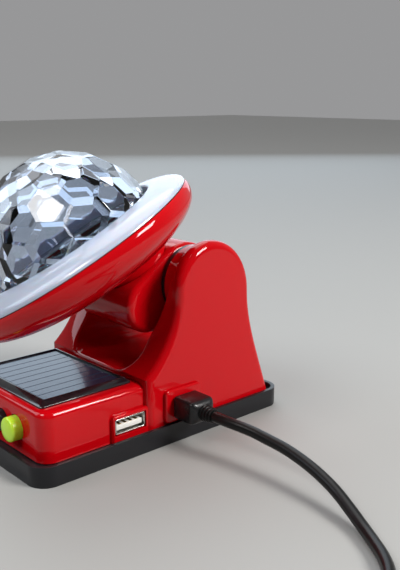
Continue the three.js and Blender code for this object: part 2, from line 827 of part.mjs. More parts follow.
function makeBattery() {
  const z = trayFloor + fit + batteryRadius;
  const start = setback(batteryStart);
  const body = bar(
    new THREE.Vector3(batteryX, start, z),
    new THREE.Vector3(batteryX, start + batteryLength, z),
    batteryRadius,
  );
  const tip = bar(
    new THREE.Vector3(batteryX, start - batteryTipLength, z),
    new THREE.Vector3(batteryX, start + batteryTipLength, z),
    batteryTipRadius, batteryTipRadius, smallSides,
  );
  return body.add(tip);
}

addPiece('battery_cell', makeBattery(), finish.cell);
const switchFace = setback(switchBoardStart);
const switchBoreEnd = switchFace - 3 * fit;
const flangeBack = buttonFace + wall + fit + buttonFlangeThickness;
const switchFront = flangeBack + buttonTravel + fit;
addPiece('switch_board', block(
  [switchBoardLeft, switchBoardRight], [switchFace, switchFace + boardDepth], [boardFoot, switchBoardTop],
), finish.board);

function makeSwitch(x) {
  const body = block(
    [x - switchSize / 2, x + switchSize / 2],
    [switchFront, switchFace - fit],
    [buttonHeight - switchSize / 2, buttonHeight + switchSize / 2],
  );
  return body.subtract(bar(
    new THREE.Vector3(x, switchFront - overrun, buttonHeight),
    new THREE.Vector3(x, switchBoreEnd, buttonHeight),
    buttonStemRadius + fit, buttonStemRadius + fit, smallSides,
  ));
}

addPiece('power_switch', makeSwitch(powerButtonX), finish.blackPlastic);
addPiece('mode_switch', makeSwitch(modeButtonX), finish.blackPlastic);

// A push button: rounded cap, a flange behind the wall, and a stem that enters the switch
function makeButton(x, radius, proud) {
  const stemEnd = switchBoreEnd - buttonTravel - fit;
  const profile = [
    [0, 0],
    [radius - buttonRound, 0],
    [radius - buttonRound * (1 - Math.SQRT1_2), buttonRound * (1 - Math.SQRT1_2)],
    [radius, buttonRound],
    [radius, proud + wall + fit],
    [radius + buttonFlange, proud + wall + fit],
    [radius + buttonFlange, proud + wall + fit + buttonFlangeThickness],
    [0, proud + wall + fit + buttonFlangeThickness],
  ];
  const cap = placed(turnedAbout(profile, roundSides), new THREE.Matrix4().makeRotationX(-Math.PI / 2));
  const stem = bar(
    new THREE.Vector3(x, flangeBack - buttonFlangeThickness / 2, buttonHeight),
    new THREE.Vector3(x, stemEnd, buttonHeight),
    buttonStemRadius, buttonStemRadius, smallSides,
  );
  return cap.translate([x, buttonFace - proud, buttonHeight]).add(stem);
}

addPiece('power_button', makeButton(powerButtonX, powerButtonRadius, buttonProud), finish.lime);
addPiece('mode_button', makeButton(modeButtonX, modeButtonRadius, modeButtonProud), finish.blackGloss);

// Pivot: a friction washer and a hollow trunnion at each arm
const bossFace = gapHalfWidth - fit / 2;
for (const [side, word] of [[1, 'right'], [-1, 'left']]) {
  const at = (x) => new THREE.Vector3(side * x, pivot.y, pivot.z);
  const washerInner = bossFace - fit - washerThickness;
  const washer = bar(at(washerInner), at(bossFace - fit), washerRadius)
    .subtract(bar(at(washerInner - overrun), at(bossFace), axleRadius + fit));
  addPiece(`pivot_washer_${word}`, washer, finish.blackGloss);
  const inner = knuckleHalfWidth - axleGripInKnuckle;
  const outer = bossFace + axleGripInArm;
  const axle = bar(at(inner), at(outer), axleRadius)
    .subtract(bar(at(inner - overrun), at(outer + overrun), axleBore, axleBore, smallSides));
  addPiece(`pivot_axle_${word}`, axle, finish.steel);
}

// Knuckle: a barrel on the axle with a lobe reaching forwards under the bowl
function beltOutline(radius, lobe, lobeY, lobeZ) {
  const distance = Math.hypot(lobeY, lobeZ);
  const heading = Math.atan2(lobeZ, lobeY);
  const spread = Math.acos((radius - lobe) / distance);
  const shape = new THREE.Shape();
  shape.absarc(0, 0, radius, heading + spread, heading - spread + 2 * Math.PI);
  shape.absarc(lobeY, lobeZ, lobe, heading - spread, heading + spread);
  shape.closePath();
  return shape;
}

const alongSwivel = (distance, up = 0, x = 0) => new THREE.Vector3(x, 0, 0)
  .addScaledVector(swivelAxis, distance)
  .addScaledVector(swivelUp, up);

function swivelBar(from, to, radius, sides = roundSides) {
  return bar(alongSwivel(from), alongSwivel(to), radius, radius, sides);
}

// The bowl's neck: a flared collar about the swivel axis, from its seat on the knuckle into the bowl
function neckSolid(grow) {
  const seat = alongSwivel(seatHeight + fit - grow);
  const flareEnd = alongSwivel(collarFlareEnd);
  const farRadius = collarRadius + collarFlare + grow;
  const flare = bar(seat, flareEnd, collarRadius + grow, farRadius, largeSides);
  return flare.add(swivelBar(collarFlareEnd - overrun, headReach, farRadius, largeSides));
}

function makeKnuckle() {
  const outline = beltOutline(knuckleRadius, lobeRadius, -lobeForward, -lobeDrop);
  let knuckle = acrossX(outline, knuckleHalfWidth, knuckleRound);
  for (const side of [-1, 1]) {
    const from = new THREE.Vector3(side * (knuckleHalfWidth + overrun), 0, 0);
    const to = new THREE.Vector3(side * (knuckleHalfWidth - axleGripInKnuckle - fit), 0, 0);
    knuckle = knuckle.subtract(bar(from, to, axleRadius + fit));
  }
  knuckle = knuckle.subtract(neckSolid(fit));
  knuckle = knuckle.subtract(swivelBar(0, headReach, spigotRadius + fit));
  return knuckle.subtract(swivelBar(-clipRoomDepth, clipShoulder, clipRadius + fit));
}

function splitKnuckle() {
  const knuckle = makeKnuckle();
  const normal = swivelAxis.toArray();
  const away = swivelAxis.clone().negate().toArray();
  return [knuckle.trimByPlane(normal, fit / 2), knuckle.trimByPlane(away, fit / 2)];
}

let [knuckleFront, knuckleRear] = splitKnuckle();
const screwIntoFront = smallScrewLength - screwHeadHeight;
const rearSeat = -(Math.sqrt(knuckleRadius ** 2 - knuckleScrewOffset ** 2) - 2 * screwHeadHeight);
const knuckleScrews = [-1, 1].map((side) => {
  const x = side * knuckleScrewSpread;
  const seat = alongSwivel(rearSeat, -knuckleScrewOffset, x);
  const end = alongSwivel(screwIntoFront, -knuckleScrewOffset, x);
  const outside = alongSwivel(rearSeat - knuckleRadius, -knuckleScrewOffset, x);
  const drilled = alongSwivel(screwIntoFront + fit, -knuckleScrewOffset, x);
  const headEnd = alongSwivel(rearSeat + screwHeadHeight + fit, -knuckleScrewOffset, x);
  const hole = bar(outside, drilled, screwRadius + fit, screwRadius + fit, smallSides);
  const sink = bar(outside, headEnd, screwHeadRadius + fit, screwHeadRadius + fit, smallSides);
  knuckleFront = knuckleFront.subtract(hole);
  knuckleRear = knuckleRear.subtract(hole).subtract(sink);
  const headTop = alongSwivel(rearSeat + screwHeadHeight, -knuckleScrewOffset, x);
  const shank = bar(seat, end, screwRadius, screwRadius, smallSides);
  return shank.add(bar(seat, headTop, screwHeadRadius, screwHeadRadius, smallSides));
});
addPiece('knuckle_front', knuckleFront, finish.red, tilting);
addPiece('knuckle_rear', knuckleRear, finish.red, tilting);
knuckleScrews.forEach((screw, i) => addPiece(`knuckle_screw_${i + 1}`, screw, finish.steel, tilting));

// Clip that holds the bowl's spigot behind the knuckle's shoulder
const clipTop = clipShoulder - fit;
const clipFoot = clipTop - clipThickness;
const clip = swivelBar(clipFoot, clipTop, clipRadius)
  .subtract(swivelBar(clipFoot - overrun, clipTop + overrun, spigotRadius - clipGroove + fit));
addPiece('swivel_clip', clip, finish.steel, swivelling);

// Bowl: a shallow shell with posts for the screws and a slanted spigot for the swivel
function bowlPoints(inset) {
  return bowlRadiusShares.map((share, i) => [
    share * headRadius - inset,
    -Math.max(bowlDepthShares[i] * bowlDepth - inset, 0),
  ]);
}

const reflectorWellRim = reflectorWell + reflectorSlope;
const headPostCircle = reflectorWellRim + headPostShare * (reflectorRadius - reflectorWellRim);
const headPosts = Array.from({ length: headPostCount }, (_, i) => {
  const angle = -Math.PI / 2 + (2 * Math.PI * i) / headPostCount;
  return [headPostCircle * Math.cos(angle), headPostCircle * Math.sin(angle)];
});
const motorPosts = [[motorPostCircle, 0], [-motorPostCircle, 0]];
const bowlFloor = bowlWall - bowlDepth;

function makeBowl() {
  const outer = turnedAbout([[0, 0], ...bowlPoints(0), [0, -bowlDepth]]);
  const innerProfile = bowlPoints(bowlWall).filter(([, depth]) => depth < 0);
  const inner = turnedAbout([
    [0, overrun],
    [headRadius - bowlWall, overrun],
    [headRadius - bowlWall, 0],
    ...innerProfile,
    [0, bowlFloor],
  ]);
  const clipLow = clipFoot - fit;
  const spigot = joined(
    neckSolid(0),
    swivelBar(clipLow - spigotLip, seatHeight + 2 * fit, spigotRadius),
  ).subtract(
    swivelBar(clipLow, clipShoulder, spigotRadius + overrun)
      .subtract(swivelBar(clipLow - overrun, clipShoulder + overrun, spigotRadius - clipGroove)),
  );
  const spigotInHead = placed(spigot, intoHead);
  const above = block(
    [-headRadius, headRadius], [-headRadius, headRadius], [-bowlDepth / 2, headRadius],
  );
  let bowl = outer.add(spigotInHead.subtract(above)).subtract(inner);
  bowl = bowl.subtract(placed(swivelBar(0, headReach, spigotBore, smallSides), intoHead));
  const ledgeTop = -boardLedgeDepth;
  const ledgeOuter = headRadius - bowlWall / 2;
  bowl = bowl.add(annulus(ledgeOuter - boardLedgeWidth, ledgeOuter, ledgeTop - boardLedgeDepth, ledgeTop)
    .intersect(outer));
  for (const [x, y] of headPosts) {
    const top = -reflectorRimDepth - fit;
    bowl = bowl.add(upright(x, y, bowlFloor - bowlWall / 2, top, headPostRadius).intersect(outer));
    const bore = upright(x, y, top - smallScrewLength, top + overrun, screwRadius + fit, smallSides);
    bowl = bowl.subtract(bore);
  }
  for (const [x, y] of motorPosts) {
    const top = -motorEarDepth - motorEarThickness - fit;
    bowl = bowl.add(upright(x, y, bowlFloor - bowlWall / 2, top, motorPostRadius, smallSides));
    bowl = bowl.subtract(upright(x, y, bowlFloor, top + overrun, screwRadius + fit, smallSides));
  }
  return bowl;
}

addPiece('bowl_shell', makeBowl(), finish.red, head);

// White diffuser ring: a thin arched cover over the ring lights
function makeDiffuser() {
  const outerArch = ringSpanShares.map((share, i) => [
    ringInner + share * ringWidth, fit + ringRiseShares[i] * (ringHeight - fit),
  ]);
  const innerSpan = ringWidth - 2 * ringWall;
  const innerArch = ringSpanShares.map((share, i) => [
    ringInner + ringWall + share * innerSpan,
    fit + ringRiseShares[i] * (ringHeight - fit - ringWall),
  ]).reverse();
  return turnedAbout([
    ...outerArch,
    [ringInner, -ringSkirtDepth],
    [ringInner + ringWall, -ringSkirtDepth],
    ...innerArch,
    outerArch[0],
  ]);
}

addPiece('diffuser_ring', makeDiffuser(), finish.white, head);

// Ring board with its row of small lights
function makeRingBoard() {
  const foot = -boardLedgeDepth + fit;
  const outer = headRadius - bowlWall - 2 * fit;
  let board = annulus(ringBoardInner, outer, foot, foot + boardThickness);
  const middle = (ringBoardInner + outer) / 2;
  const light1 = block(
    [middle - ledSize / 2, middle + ledSize / 2], [-ledSize / 2, ledSize / 2],
    [foot + boardThickness / 2, foot + boardThickness + ledHeight],
  );
  for (let i = 0; i < ringLedCount; i += 1) {
    board = board.add(light1.rotate([0, 0, (360 * i) / ringLedCount]));
  }
  return board;
}

addPiece('ring_led_board', makeRingBoard(), finish.whiteBoard, head);

// Reflector dish that closes the bowl under the dome
function makeReflector() {
  const bore = shaftRadius + 2 * fit;
  let dish = turnedAbout([
    [bore, -reflectorWellDepth],
    [reflectorWell, -reflectorWellDepth],
    [reflectorWellRim, -reflectorRimDepth],
    [reflectorRadius, -reflectorRimDepth],
    [reflectorRadius, reflectorThickness - reflectorRimDepth],
    [reflectorWellRim - fit, reflectorThickness - reflectorRimDepth],
    [reflectorWell - fit, reflectorThickness - reflectorWellDepth],
    [bore, reflectorThickness - reflectorWellDepth],
    [bore, -reflectorWellDepth],
  ]);
  for (const [x, y] of headPosts) {
    dish = dish.subtract(upright(x, y, -bowlDepth, ringHeight, screwRadius + fit, smallSides));
  }
  return dish;
}

addPiece('reflector_dish', makeReflector(), finish.blackGloss, head);
const turnedOver = new THREE.Matrix4().makeRotationX(Math.PI);
const smallScrew = placed(makeScrew(smallScrewLength), turnedOver);
headPosts.forEach(([x, y], i) => {
  const z = reflectorThickness - reflectorRimDepth + fit + screwHeadHeight;
  addPiece(`head_screw_${i + 1}`, smallScrew, finish.steel, head, new THREE.Vector3(x, y, z));
});

// Centre board with four coloured lights round the shaft
const ledBoardFoot = reflectorThickness - reflectorWellDepth + fit;
const ledBoardTop = ledBoardFoot + boardThickness;
const ledBoard = annulus(shaftRadius + 2 * fit, ledBoardRadius, ledBoardFoot, ledBoardTop, roundSides);
addPiece('centre_led_board', ledBoard, finish.whiteBoard, head);
const ledFoot = ledBoardTop + fit;
const lens = turnedAbout([
  [0, 0],
  [ledRadius, 0],
  [ledRadius, ledRim],
  ...[1, 2, 3].map((k) => [
    ledRadius * Math.cos((k * Math.PI) / 8),
    ledRim + (ledRadius / 2) * Math.sin((k * Math.PI) / 8),
  ]),
  [0, ledRim + ledRadius / 2],
], roundSides / 2);
['red', 'green', 'blue', 'white'].forEach((colour, i) => {
  const angle = Math.PI / 4 + (i * Math.PI) / 2;
  const place = new THREE.Vector3(ledCircle * Math.cos(angle), ledCircle * Math.sin(angle), ledFoot);
  const look = finish[`led${colour[0].toUpperCase()}${colour.slice(1)}`];
  addPiece(`led_${colour}`, lens, look, head, place);
});

// Geared motor with two ears
function makeMotor() {
  const ear = block(
    [-motorEarReach, motorEarReach],
    [-motorEarHalfWidth, motorEarHalfWidth],
    [-motorEarDepth - motorEarThickness, -motorEarDepth],
  );
  let motor = upright(0, 0, -motorBottom, -motorTop, motorRadius).add(ear);
  motor = motor.subtract(upright(0, 0, -shaftBottom - fit, 0, shaftRadius + fit, smallSides));
  for (const [x, y] of motorPosts) {
    motor = motor.subtract(upright(x, y, -motorBottom, 0, screwRadius + fit, smallSides));
  }
  return motor;
}

addPiece('motor', makeMotor(), finish.steel, head);
const shortScrew = placed(makeScrew(smallScrewLength - motorEarThickness), turnedOver);
motorPosts.forEach(([x, y], i) => {
  const z = -motorEarDepth + fit + screwHeadHeight;
  addPiece(`motor_screw_${i + 1}`, shortScrew, finish.steel, head, new THREE.Vector3(x, y, z));
});

// Turning parts: shaft, spoked carrier and crystal dome
const shaft = upright(0, 0, -shaftBottom, shaftTop, shaftRadius, smallSides);
addPiece('drive_shaft', shaft, finish.steel, turning);
const carrierTop = domeBottom - fit;
const carrierFoot = carrierTop - carrierThickness;

function makeCarrier() {
  let carrier = annulus(carrierRimInner, carrierRimOuter, carrierFoot, carrierTop);
  carrier = carrier.add(upright(0, 0, carrierFoot, carrierHubTop, carrierHubRadius));
  for (let i = 0; i < spokeCount; i += 1) {
    const spoke = block(
      [0, carrierRimInner + fit], [-spokeHalfWidth, spokeHalfWidth], [carrierFoot, carrierTop],
    );
    carrier = carrier.add(spoke.rotate([0, 0, (360 * i) / spokeCount]));
  }
  const bore = upright(0, 0, carrierFoot - overrun, shaftTop + fit, shaftRadius + fit, smallSides);
  return carrier.subtract(bore);
}

addPiece('dome_carrier', makeCarrier(), finish.clear, turning);

// A dome cut by one plane for each facet of each tier
function facetedDome(radius, foot) {
  const reach = 2 * domeRadius;
  let dome = block([-reach, reach], [-reach, reach], [foot, reach]);
  for (const { colatitude, count, phase } of facetTiers) {
    for (let i = 0; i < count; i += 1) {
      const turn = (2 * Math.PI * (i + phase)) / count;
      const polar = radians(colatitude);
      const inward = new THREE.Vector3().setFromSphericalCoords(1, polar, turn).negate();
      const normal = [inward.z, inward.x, inward.y];
      dome = dome.trimByPlane(normal, -radius - inward.y * -domeCentreHeight);
    }
  }
  return dome;
}

const dome = facetedDome(domeRadius, domeBottom)
  .subtract(facetedDome(domeRadius - domeWall, domeBottom - overrun));
addPiece('crystal_dome', dome, finish.crystal, turning);

// Charging plug in the right arm's boss
const plugFace = yokeHalfWidth + chargeBossProud + fit;
const plugEnd = plugFace + plugLength;

function makePlugBody(length, width, height, chamfer) {
  const shape = new THREE.Shape();
  shape.moveTo(-width / 2, -height / 2);
  shape.lineTo(width / 2, -height / 2);
  shape.lineTo(width / 2, height / 2);
  shape.lineTo(-width / 2, height / 2);
  shape.closePath();
  return placed(pushed(shape, length, chamfer, 1), alongX);
}

const plugPlace = new THREE.Vector3(plugFace, chargeCentreY, chargeHeight);
const plugBody = makePlugBody(plugLength, plugWidth, plugHeight, plugChamfer);
addPiece('charge_plug', plugBody, finish.blackPlastic, light, plugPlace);
addPiece('charge_plug_tip', block(
  [plugFace - fit - plugTipLength, plugFace - fit],
  [chargeCentreY - plugTipWidth / 2, chargeCentreY + plugTipWidth / 2],
  [chargeHeight - plugTipHeight / 2, chargeHeight + plugTipHeight / 2],
), finish.steel);

// Ribbed strain relief that narrows from its first radius to its last
function makeRelief(length, radius, endRadius) {
  const profile = [[0, 0]];
  const rib = length / (2 * reliefRibs + 1);
  for (let i = 0; i <= reliefRibs; i += 1) {
    const ribRadius = THREE.MathUtils.lerp(radius, endRadius, i / reliefRibs);
    const grooveRadius = (ribRadius + leadDiameter / 2) / 2;
    profile.push([ribRadius, 2 * i * rib], [ribRadius, (2 * i + 1) * rib]);
    if (i < reliefRibs) profile.push([grooveRadius, (2 * i + 1) * rib], [grooveRadius, (2 * i + 2) * rib]);
  }
  profile.push([0, length]);
  return placed(turnedAbout(profile, smallSides), new THREE.Matrix4().makeRotationY(Math.PI / 2));
}

const reliefPlace = new THREE.Vector3(plugEnd + fit, chargeCentreY, chargeHeight);
const relief = makeRelief(reliefLength, reliefRadius, reliefEndRadius);
addPiece('strain_relief', relief, finish.rubber, light, reliefPlace);

// A tube along points, as rings of corners joined by faces and closed by a cap at each end
function tubeAlong(points, radius, sides) {
  const corners = [];
  const faces = [];
  const last = points.length - 1;
  const sideways = new THREE.Vector3();
  const upwards = new THREE.Vector3();
  points.forEach((point, i) => {
    const heading = new THREE.Vector3()
      .subVectors(points[Math.min(i + 1, last)], points[Math.max(i - 1, 0)])
      .normalize();
    sideways.crossVectors(heading, axisZ).normalize();
    upwards.crossVectors(sideways, heading);
    for (let k = 0; k < sides; k += 1) {
      const angle = (2 * Math.PI * k) / sides;
      const corner = point.clone()
        .addScaledVector(sideways, radius * Math.cos(angle))
        .addScaledVector(upwards, radius * Math.sin(angle));
      corners.push(...corner.toArray());
    }
  });
  for (let i = 0; i < last; i += 1) {
    for (let k = 0; k < sides; k += 1) {
      const next = (k + 1) % sides;
      const [a, b] = [i * sides + k, i * sides + next];
      faces.push(a, b, a + sides, b, b + sides, a + sides);
    }
  }
  for (let k = 1; k < sides - 1; k += 1) {
    faces.push(0, k + 1, k, last * sides, last * sides + k, last * sides + k + 1);
  }
  const geometry = new THREE.BufferGeometry();
  geometry.setAttribute('position', new THREE.BufferAttribute(new Float32Array(corners), 3));
  geometry.setIndex(faces);
  return solidOf(geometry);
}

const leadRadius = leadDiameter / 2;

// A free stretch of lead: a round section pushed along the curve through its points
function leadAlong(points, steps) {
  const section = new THREE.Shape();
  for (let k = 0; k <= leadSides; k += 1) {
    const angle = (2 * Math.PI * k) / leadSides;
    const corner = [leadRadius * Math.cos(angle), leadRadius * Math.sin(angle)];
    if (k === 0) section.moveTo(...corner);
    else section.lineTo(...corner);
  }
  const extrudePath = new THREE.CatmullRomCurve3(points);
  return solidOf(new THREE.ExtrudeGeometry(section, { steps, extrudePath }));
}

const leadPoints = leadRoute.map((point) => new THREE.Vector3(...point));
addPiece('charge_lead', leadAlong(leadPoints, leadSteps), finish.rubber);

// Coil: loops that spiral in on the lower layer, climb, and spiral out again on the upper one
const coilInner = coilMiddleRadius - (coilPitch * coilTurns) / 4;
const coilOuter = coilInner + (coilPitch * coilTurns) / 2;
const coilCentre = new THREE.Vector3(coilEntry[0] + coilOuter, coilEntry[1] - leadDiameter, coilEntry[2]);

function coilPoint(turn) {
  const fromMiddle = turn - coilTurns / 2;
  const radius = coilInner + coilPitch * Math.abs(fromMiddle);
  const climb = THREE.MathUtils.smoothstep(fromMiddle, -coilClimbTurns / 2, coilClimbTurns / 2);
  const angle = Math.PI + 2 * Math.PI * turn;
  const fromCentre = new THREE.Vector3(Math.cos(angle), Math.sin(angle), 0).multiplyScalar(radius);
  return fromCentre.setZ(coilPitch * climb).add(coilCentre);
}

const coilSteps = Math.round(coilTurns * coilStepsPerTurn);
const coilLoops = Array.from({ length: coilSteps + 1 }, (_, i) => coilPoint((i * coilTurns) / coilSteps));
const coilStart = new THREE.Vector3(...coilEntry);
const coilExit = coilLoops.at(-1).clone().add(new THREE.Vector3(0, leadDiameter, 0));
const coilRoute = [coilStart, ...coilLoops, coilExit];

function leastGap(points) {
  let least = Infinity;
  for (let i = 0; i < points.length; i += 1) {
    for (let j = i + coilStepsPerTurn / 2; j < points.length; j += 1) {
      least = Math.min(least, points[i].distanceTo(points[j]));
    }
  }
  return least - leadDiameter;
}

console.log(`least gap in the coil: ${leastGap(coilRoute).toFixed(2)} mm`);
addPiece('lead_coil', tubeAlong(coilRoute, leadRadius, coilSides), finish.rubber);

// Two ties round the coil's turns, on which the coil rests
const bundleInner = coilInner - leadRadius - fit;
const bundleOuter = coilOuter + leadRadius + fit;
const bundleTop = coilEntry[2] + coilPitch + leadRadius + fit;
const bundleFoot = coilEntry[2] - leadRadius - fit;
const tie = block(
  [bundleInner - tieThickness, bundleOuter + tieThickness],
  [-tieWidth / 2, tieWidth / 2],
  [bundleFoot - tieThickness, bundleTop + tieThickness],
).subtract(block([bundleInner, bundleOuter], [-tieWidth, tieWidth], [bundleFoot, bundleTop]));
tieTurns.forEach((turn, i) => {
  const place = new THREE.Vector3(coilCentre.x, coilCentre.y, 0);
  addPiece(`coil_tie_${i + 1}`, tie.rotate([0, 0, 360 * turn]), finish.rubber, light, place);
});

// Tail of the lead down to the far-end plug, which lies on the ground
const farAxisZ = farPlugHeight / 2;
const tailStart = coilExit.clone().add(new THREE.Vector3(0, fit, 0));
const tailEnd = new THREE.Vector3(tailStart.x, tailStart.y + tailLength, farAxisZ);
const tailPoints = [
  tailStart,
  tailStart.clone().add(new THREE.Vector3(0, leadDiameter, 0)),
  new THREE.Vector3(tailStart.x, tailStart.y + tailLength / 2, (tailStart.z + farAxisZ) / 2),
  tailEnd.clone().add(new THREE.Vector3(0, -leadDiameter, 0)),
  tailEnd,
];
addPiece('lead_tail', leadAlong(tailPoints, tailSteps), finish.rubber);

const turnToY = new THREE.Matrix4().makeRotationZ(Math.PI / 2);
const farReliefPlace = tailEnd.clone().add(new THREE.Vector3(0, fit, 0));
const farRelief = placed(makeRelief(farReliefLength, reliefRadius, reliefEndRadius).mirror([1, 0, 0])
  .translate([farReliefLength, 0, 0]), turnToY);
addPiece('usb_plug_relief', farRelief, finish.rubber, light, farReliefPlace);
const farPlugPlace = farReliefPlace.clone().add(new THREE.Vector3(0, farReliefLength + fit, 0));
const farPlug = placed(makePlugBody(farPlugLength, farPlugWidth, farPlugHeight, farPlugChamfer), turnToY);
addPiece('usb_plug_body', farPlug, finish.blackPlastic, light, farPlugPlace);
const farShellStart = farPlugPlace.y + farPlugLength + fit;
const farShell = block(
  [farPlugPlace.x - farShellWidth / 2, farPlugPlace.x + farShellWidth / 2],
  [farShellStart, farShellStart + farShellLength],
  [farAxisZ - farShellHeight / 2, farAxisZ + farShellHeight / 2],
).subtract(block(
  [farPlugPlace.x - farShellWidth / 2 + usbShellWall, farPlugPlace.x + farShellWidth / 2 - usbShellWall],
  [farShellStart + usbShellWall, farShellStart + farShellLength + overrun],
  [farAxisZ, farAxisZ + farShellHeight / 2 - usbShellWall],
));
addPiece('usb_plug_shell', farShell, finish.steel);

export default light;
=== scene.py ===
# %% [markdown]
# # A portable disco light
# A small rechargeable party light. Its red base on a black tray carries a solar panel, two push
# buttons and a USB socket, and its yoke holds a head that tilts and swivels. The head has a white
# light ring round a clear dome, cut in facets, that a motor turns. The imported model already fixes
# every size and joint, so this lesson makes what is seen: moulded shapes, dome, lead, finishes.

from math import acos, atan2, cos, degrees, hypot, pi, radians, sin, sqrt

import bmesh
import bpy
from mathutils import Matrix, Vector
from mathutils.geometry import interpolate_bezier


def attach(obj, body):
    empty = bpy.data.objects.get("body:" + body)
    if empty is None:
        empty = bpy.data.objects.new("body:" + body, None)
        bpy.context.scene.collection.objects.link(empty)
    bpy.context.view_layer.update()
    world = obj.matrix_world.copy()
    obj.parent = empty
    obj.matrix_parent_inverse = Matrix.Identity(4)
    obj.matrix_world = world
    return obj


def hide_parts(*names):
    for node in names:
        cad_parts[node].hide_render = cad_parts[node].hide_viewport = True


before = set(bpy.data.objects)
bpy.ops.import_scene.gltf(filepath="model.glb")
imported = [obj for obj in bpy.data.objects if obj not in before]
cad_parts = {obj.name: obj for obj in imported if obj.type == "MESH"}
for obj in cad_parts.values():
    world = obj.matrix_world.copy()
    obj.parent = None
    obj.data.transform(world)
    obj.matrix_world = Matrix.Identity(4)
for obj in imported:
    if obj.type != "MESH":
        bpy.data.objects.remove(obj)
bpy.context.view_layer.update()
MM = 0.001


# %% [markdown]
# ## The camera
# The photograph looks down a little on the corner between the buttons and the USB socket, from
# very near. A camera could be dragged there by hand, but here its place, heading and lens were
# worked out from the picture's edges.

# %% Set up the camera
CAMERA_PLACE = Vector((239.3, -174.15, 124.7)) * MM
CAMERA_HEADING = radians(47.8)
CAMERA_DROP = radians(13.68)
CAMERA_LENS = 50.08
CAMERA_NEAR_LIMIT = 5 * MM


def show(name, data):
    """Puts new data into the scene as an object."""
    obj = bpy.data.objects.new(name, data)
    bpy.context.scene.collection.objects.link(obj)
    return obj


def aim(obj, direction):
    obj.rotation_euler = direction.to_track_quat("-Z", "Y").to_euler()


level = cos(CAMERA_DROP)
ahead = Vector((
    -level * sin(CAMERA_HEADING),
    level * cos(CAMERA_HEADING),
    -sin(CAMERA_DROP),
))
camera_data = bpy.data.cameras.new("photo_camera")
camera_data.lens = CAMERA_LENS
camera_data.clip_start = CAMERA_NEAR_LIMIT
camera = show("photo_camera", camera_data)
camera.location = CAMERA_PLACE
aim(camera, ahead)
bpy.context.scene.camera = camera
print("camera looks along", [round(value, 3) for value in ahead])

# %% [markdown]
# ## Finishes
# Every finish is a Principled shader. What changes over a surface, scuffs, moulding grain or
# fine dust, comes from three node groups that all materials share, so a change to one group
# changes the whole object alike. Values that are the same all over stay on the shader.


# %% Helpers for node groups
def new_group(name, output, **inputs):
    """An empty group with named numbers going in and one number coming out."""
    group = bpy.data.node_groups.new(name, "ShaderNodeTree")
    for label, value in inputs.items():
        socket = group.interface.new_socket(label, in_out="INPUT", socket_type="NodeSocketFloat")
        socket.default_value = value
    group.interface.new_socket(output, in_out="OUTPUT", socket_type="NodeSocketFloat")
    entry = group.nodes.new("NodeGroupInput")
    leave = group.nodes.new("NodeGroupOutput")
    return group, entry.outputs, leave.inputs[output]


def math_node(tree, operation, *values):
    """A Math node that takes sockets or plain numbers, and gives its result."""
    node = tree.nodes.new("ShaderNodeMath")
    node.operation = operation
    for target, value in zip(node.inputs, values):
        if isinstance(value, bpy.types.NodeSocket):
            tree.links.new(value, target)
        else:
            target.default_value = value
    return node.outputs[0]


def object_noise(tree, scale, detail):
    """Noise that stays with the object when it moves."""
    place = tree.nodes.new("ShaderNodeTexCoord")
    noise = tree.nodes.new("ShaderNodeTexNoise")
    noise.inputs["Detail"].default_value = detail
    tree.links.new(place.outputs["Object"], noise.inputs["Vector"])
    tree.links.new(scale, noise.inputs["Scale"])
    return noise.outputs["Fac"]


# %% Scuffs, grain and dust
NOISE_MIDDLE = 0.5
SPECK_START = 0.52
SPECK_END = 0.7
DUST_COLOUR = (0.45, 0.43, 0.40, 1.0)

# Scuffs are roughness that varies a little, as on handled plastic.
SCUFFS, given, result = new_group("scuffs", "Roughness", Roughness=0.2, Spread=0.08, Scale=60.0)
noise = object_noise(SCUFFS, given["Scale"], detail=6)
centred = math_node(SCUFFS, "SUBTRACT", noise, NOISE_MIDDLE)
total = math_node(SCUFFS, "MULTIPLY_ADD", centred, given["Spread"], given["Roughness"])
SCUFFS.links.new(total, result)

# Grain is the height of moulding texture, or of the faint waves in gloss plastic.
GRAIN, given, result = new_group("grain", "Height", Scale=900.0)
GRAIN.links.new(object_noise(GRAIN, given["Scale"], detail=3), result)

# Dust is a mask of specks on what faces up.
DUST, given, result = new_group("dust", "Mask", Amount=0.1, Scale=400.0)
specks = DUST.nodes.new("ShaderNodeMapRange")
specks.inputs["From Min"].default_value = SPECK_START
specks.inputs["From Max"].default_value = SPECK_END
DUST.links.new(object_noise(DUST, given["Scale"], detail=8), specks.inputs["Value"])
geometry = DUST.nodes.new("ShaderNodeNewGeometry")
split = DUST.nodes.new("ShaderNodeSeparateXYZ")
DUST.links.new(geometry.outputs["Normal"], split.inputs[0])
upward = math_node(DUST, "MAXIMUM", split.outputs["Z"], 0.0)
lying = math_node(DUST, "MULTIPLY", specks.outputs["Result"], upward)
DUST.links.new(math_node(DUST, "MULTIPLY", lying, given["Amount"]), result)
print("shared groups:", [group.name for group in (SCUFFS, GRAIN, DUST)])

# %% [markdown]
# One maker turns a few facts into a material: its colour, how rough it is and how much that
# varies, the depth and fineness of its grain, and how much dust lies on it. It keeps each
# material by name, so that a piece can ask for its finish with one word.

# %% Make a material from its facts
finishes = {}


def use_group(tree, group, **values):
    node = tree.nodes.new("ShaderNodeGroup")
    node.node_tree = group
    for label, value in values.items():
        node.inputs[label].default_value = value
    return node.outputs[0]


def lay_over(tree, target, colour, mask):
    """Lays a colour over what a shader's input has so far, where the mask is one."""
    mix = tree.nodes.new("ShaderNodeMix")
    mix.data_type = "RGBA"
    mix.inputs["A"].default_value = target.default_value
    mix.inputs["B"].default_value = colour
    if target.is_linked:
        tree.links.new(target.links[0].from_socket, mix.inputs["A"])
    tree.links.new(mask, mix.inputs["Factor"])
    tree.links.new(mix.outputs["Result"], target)


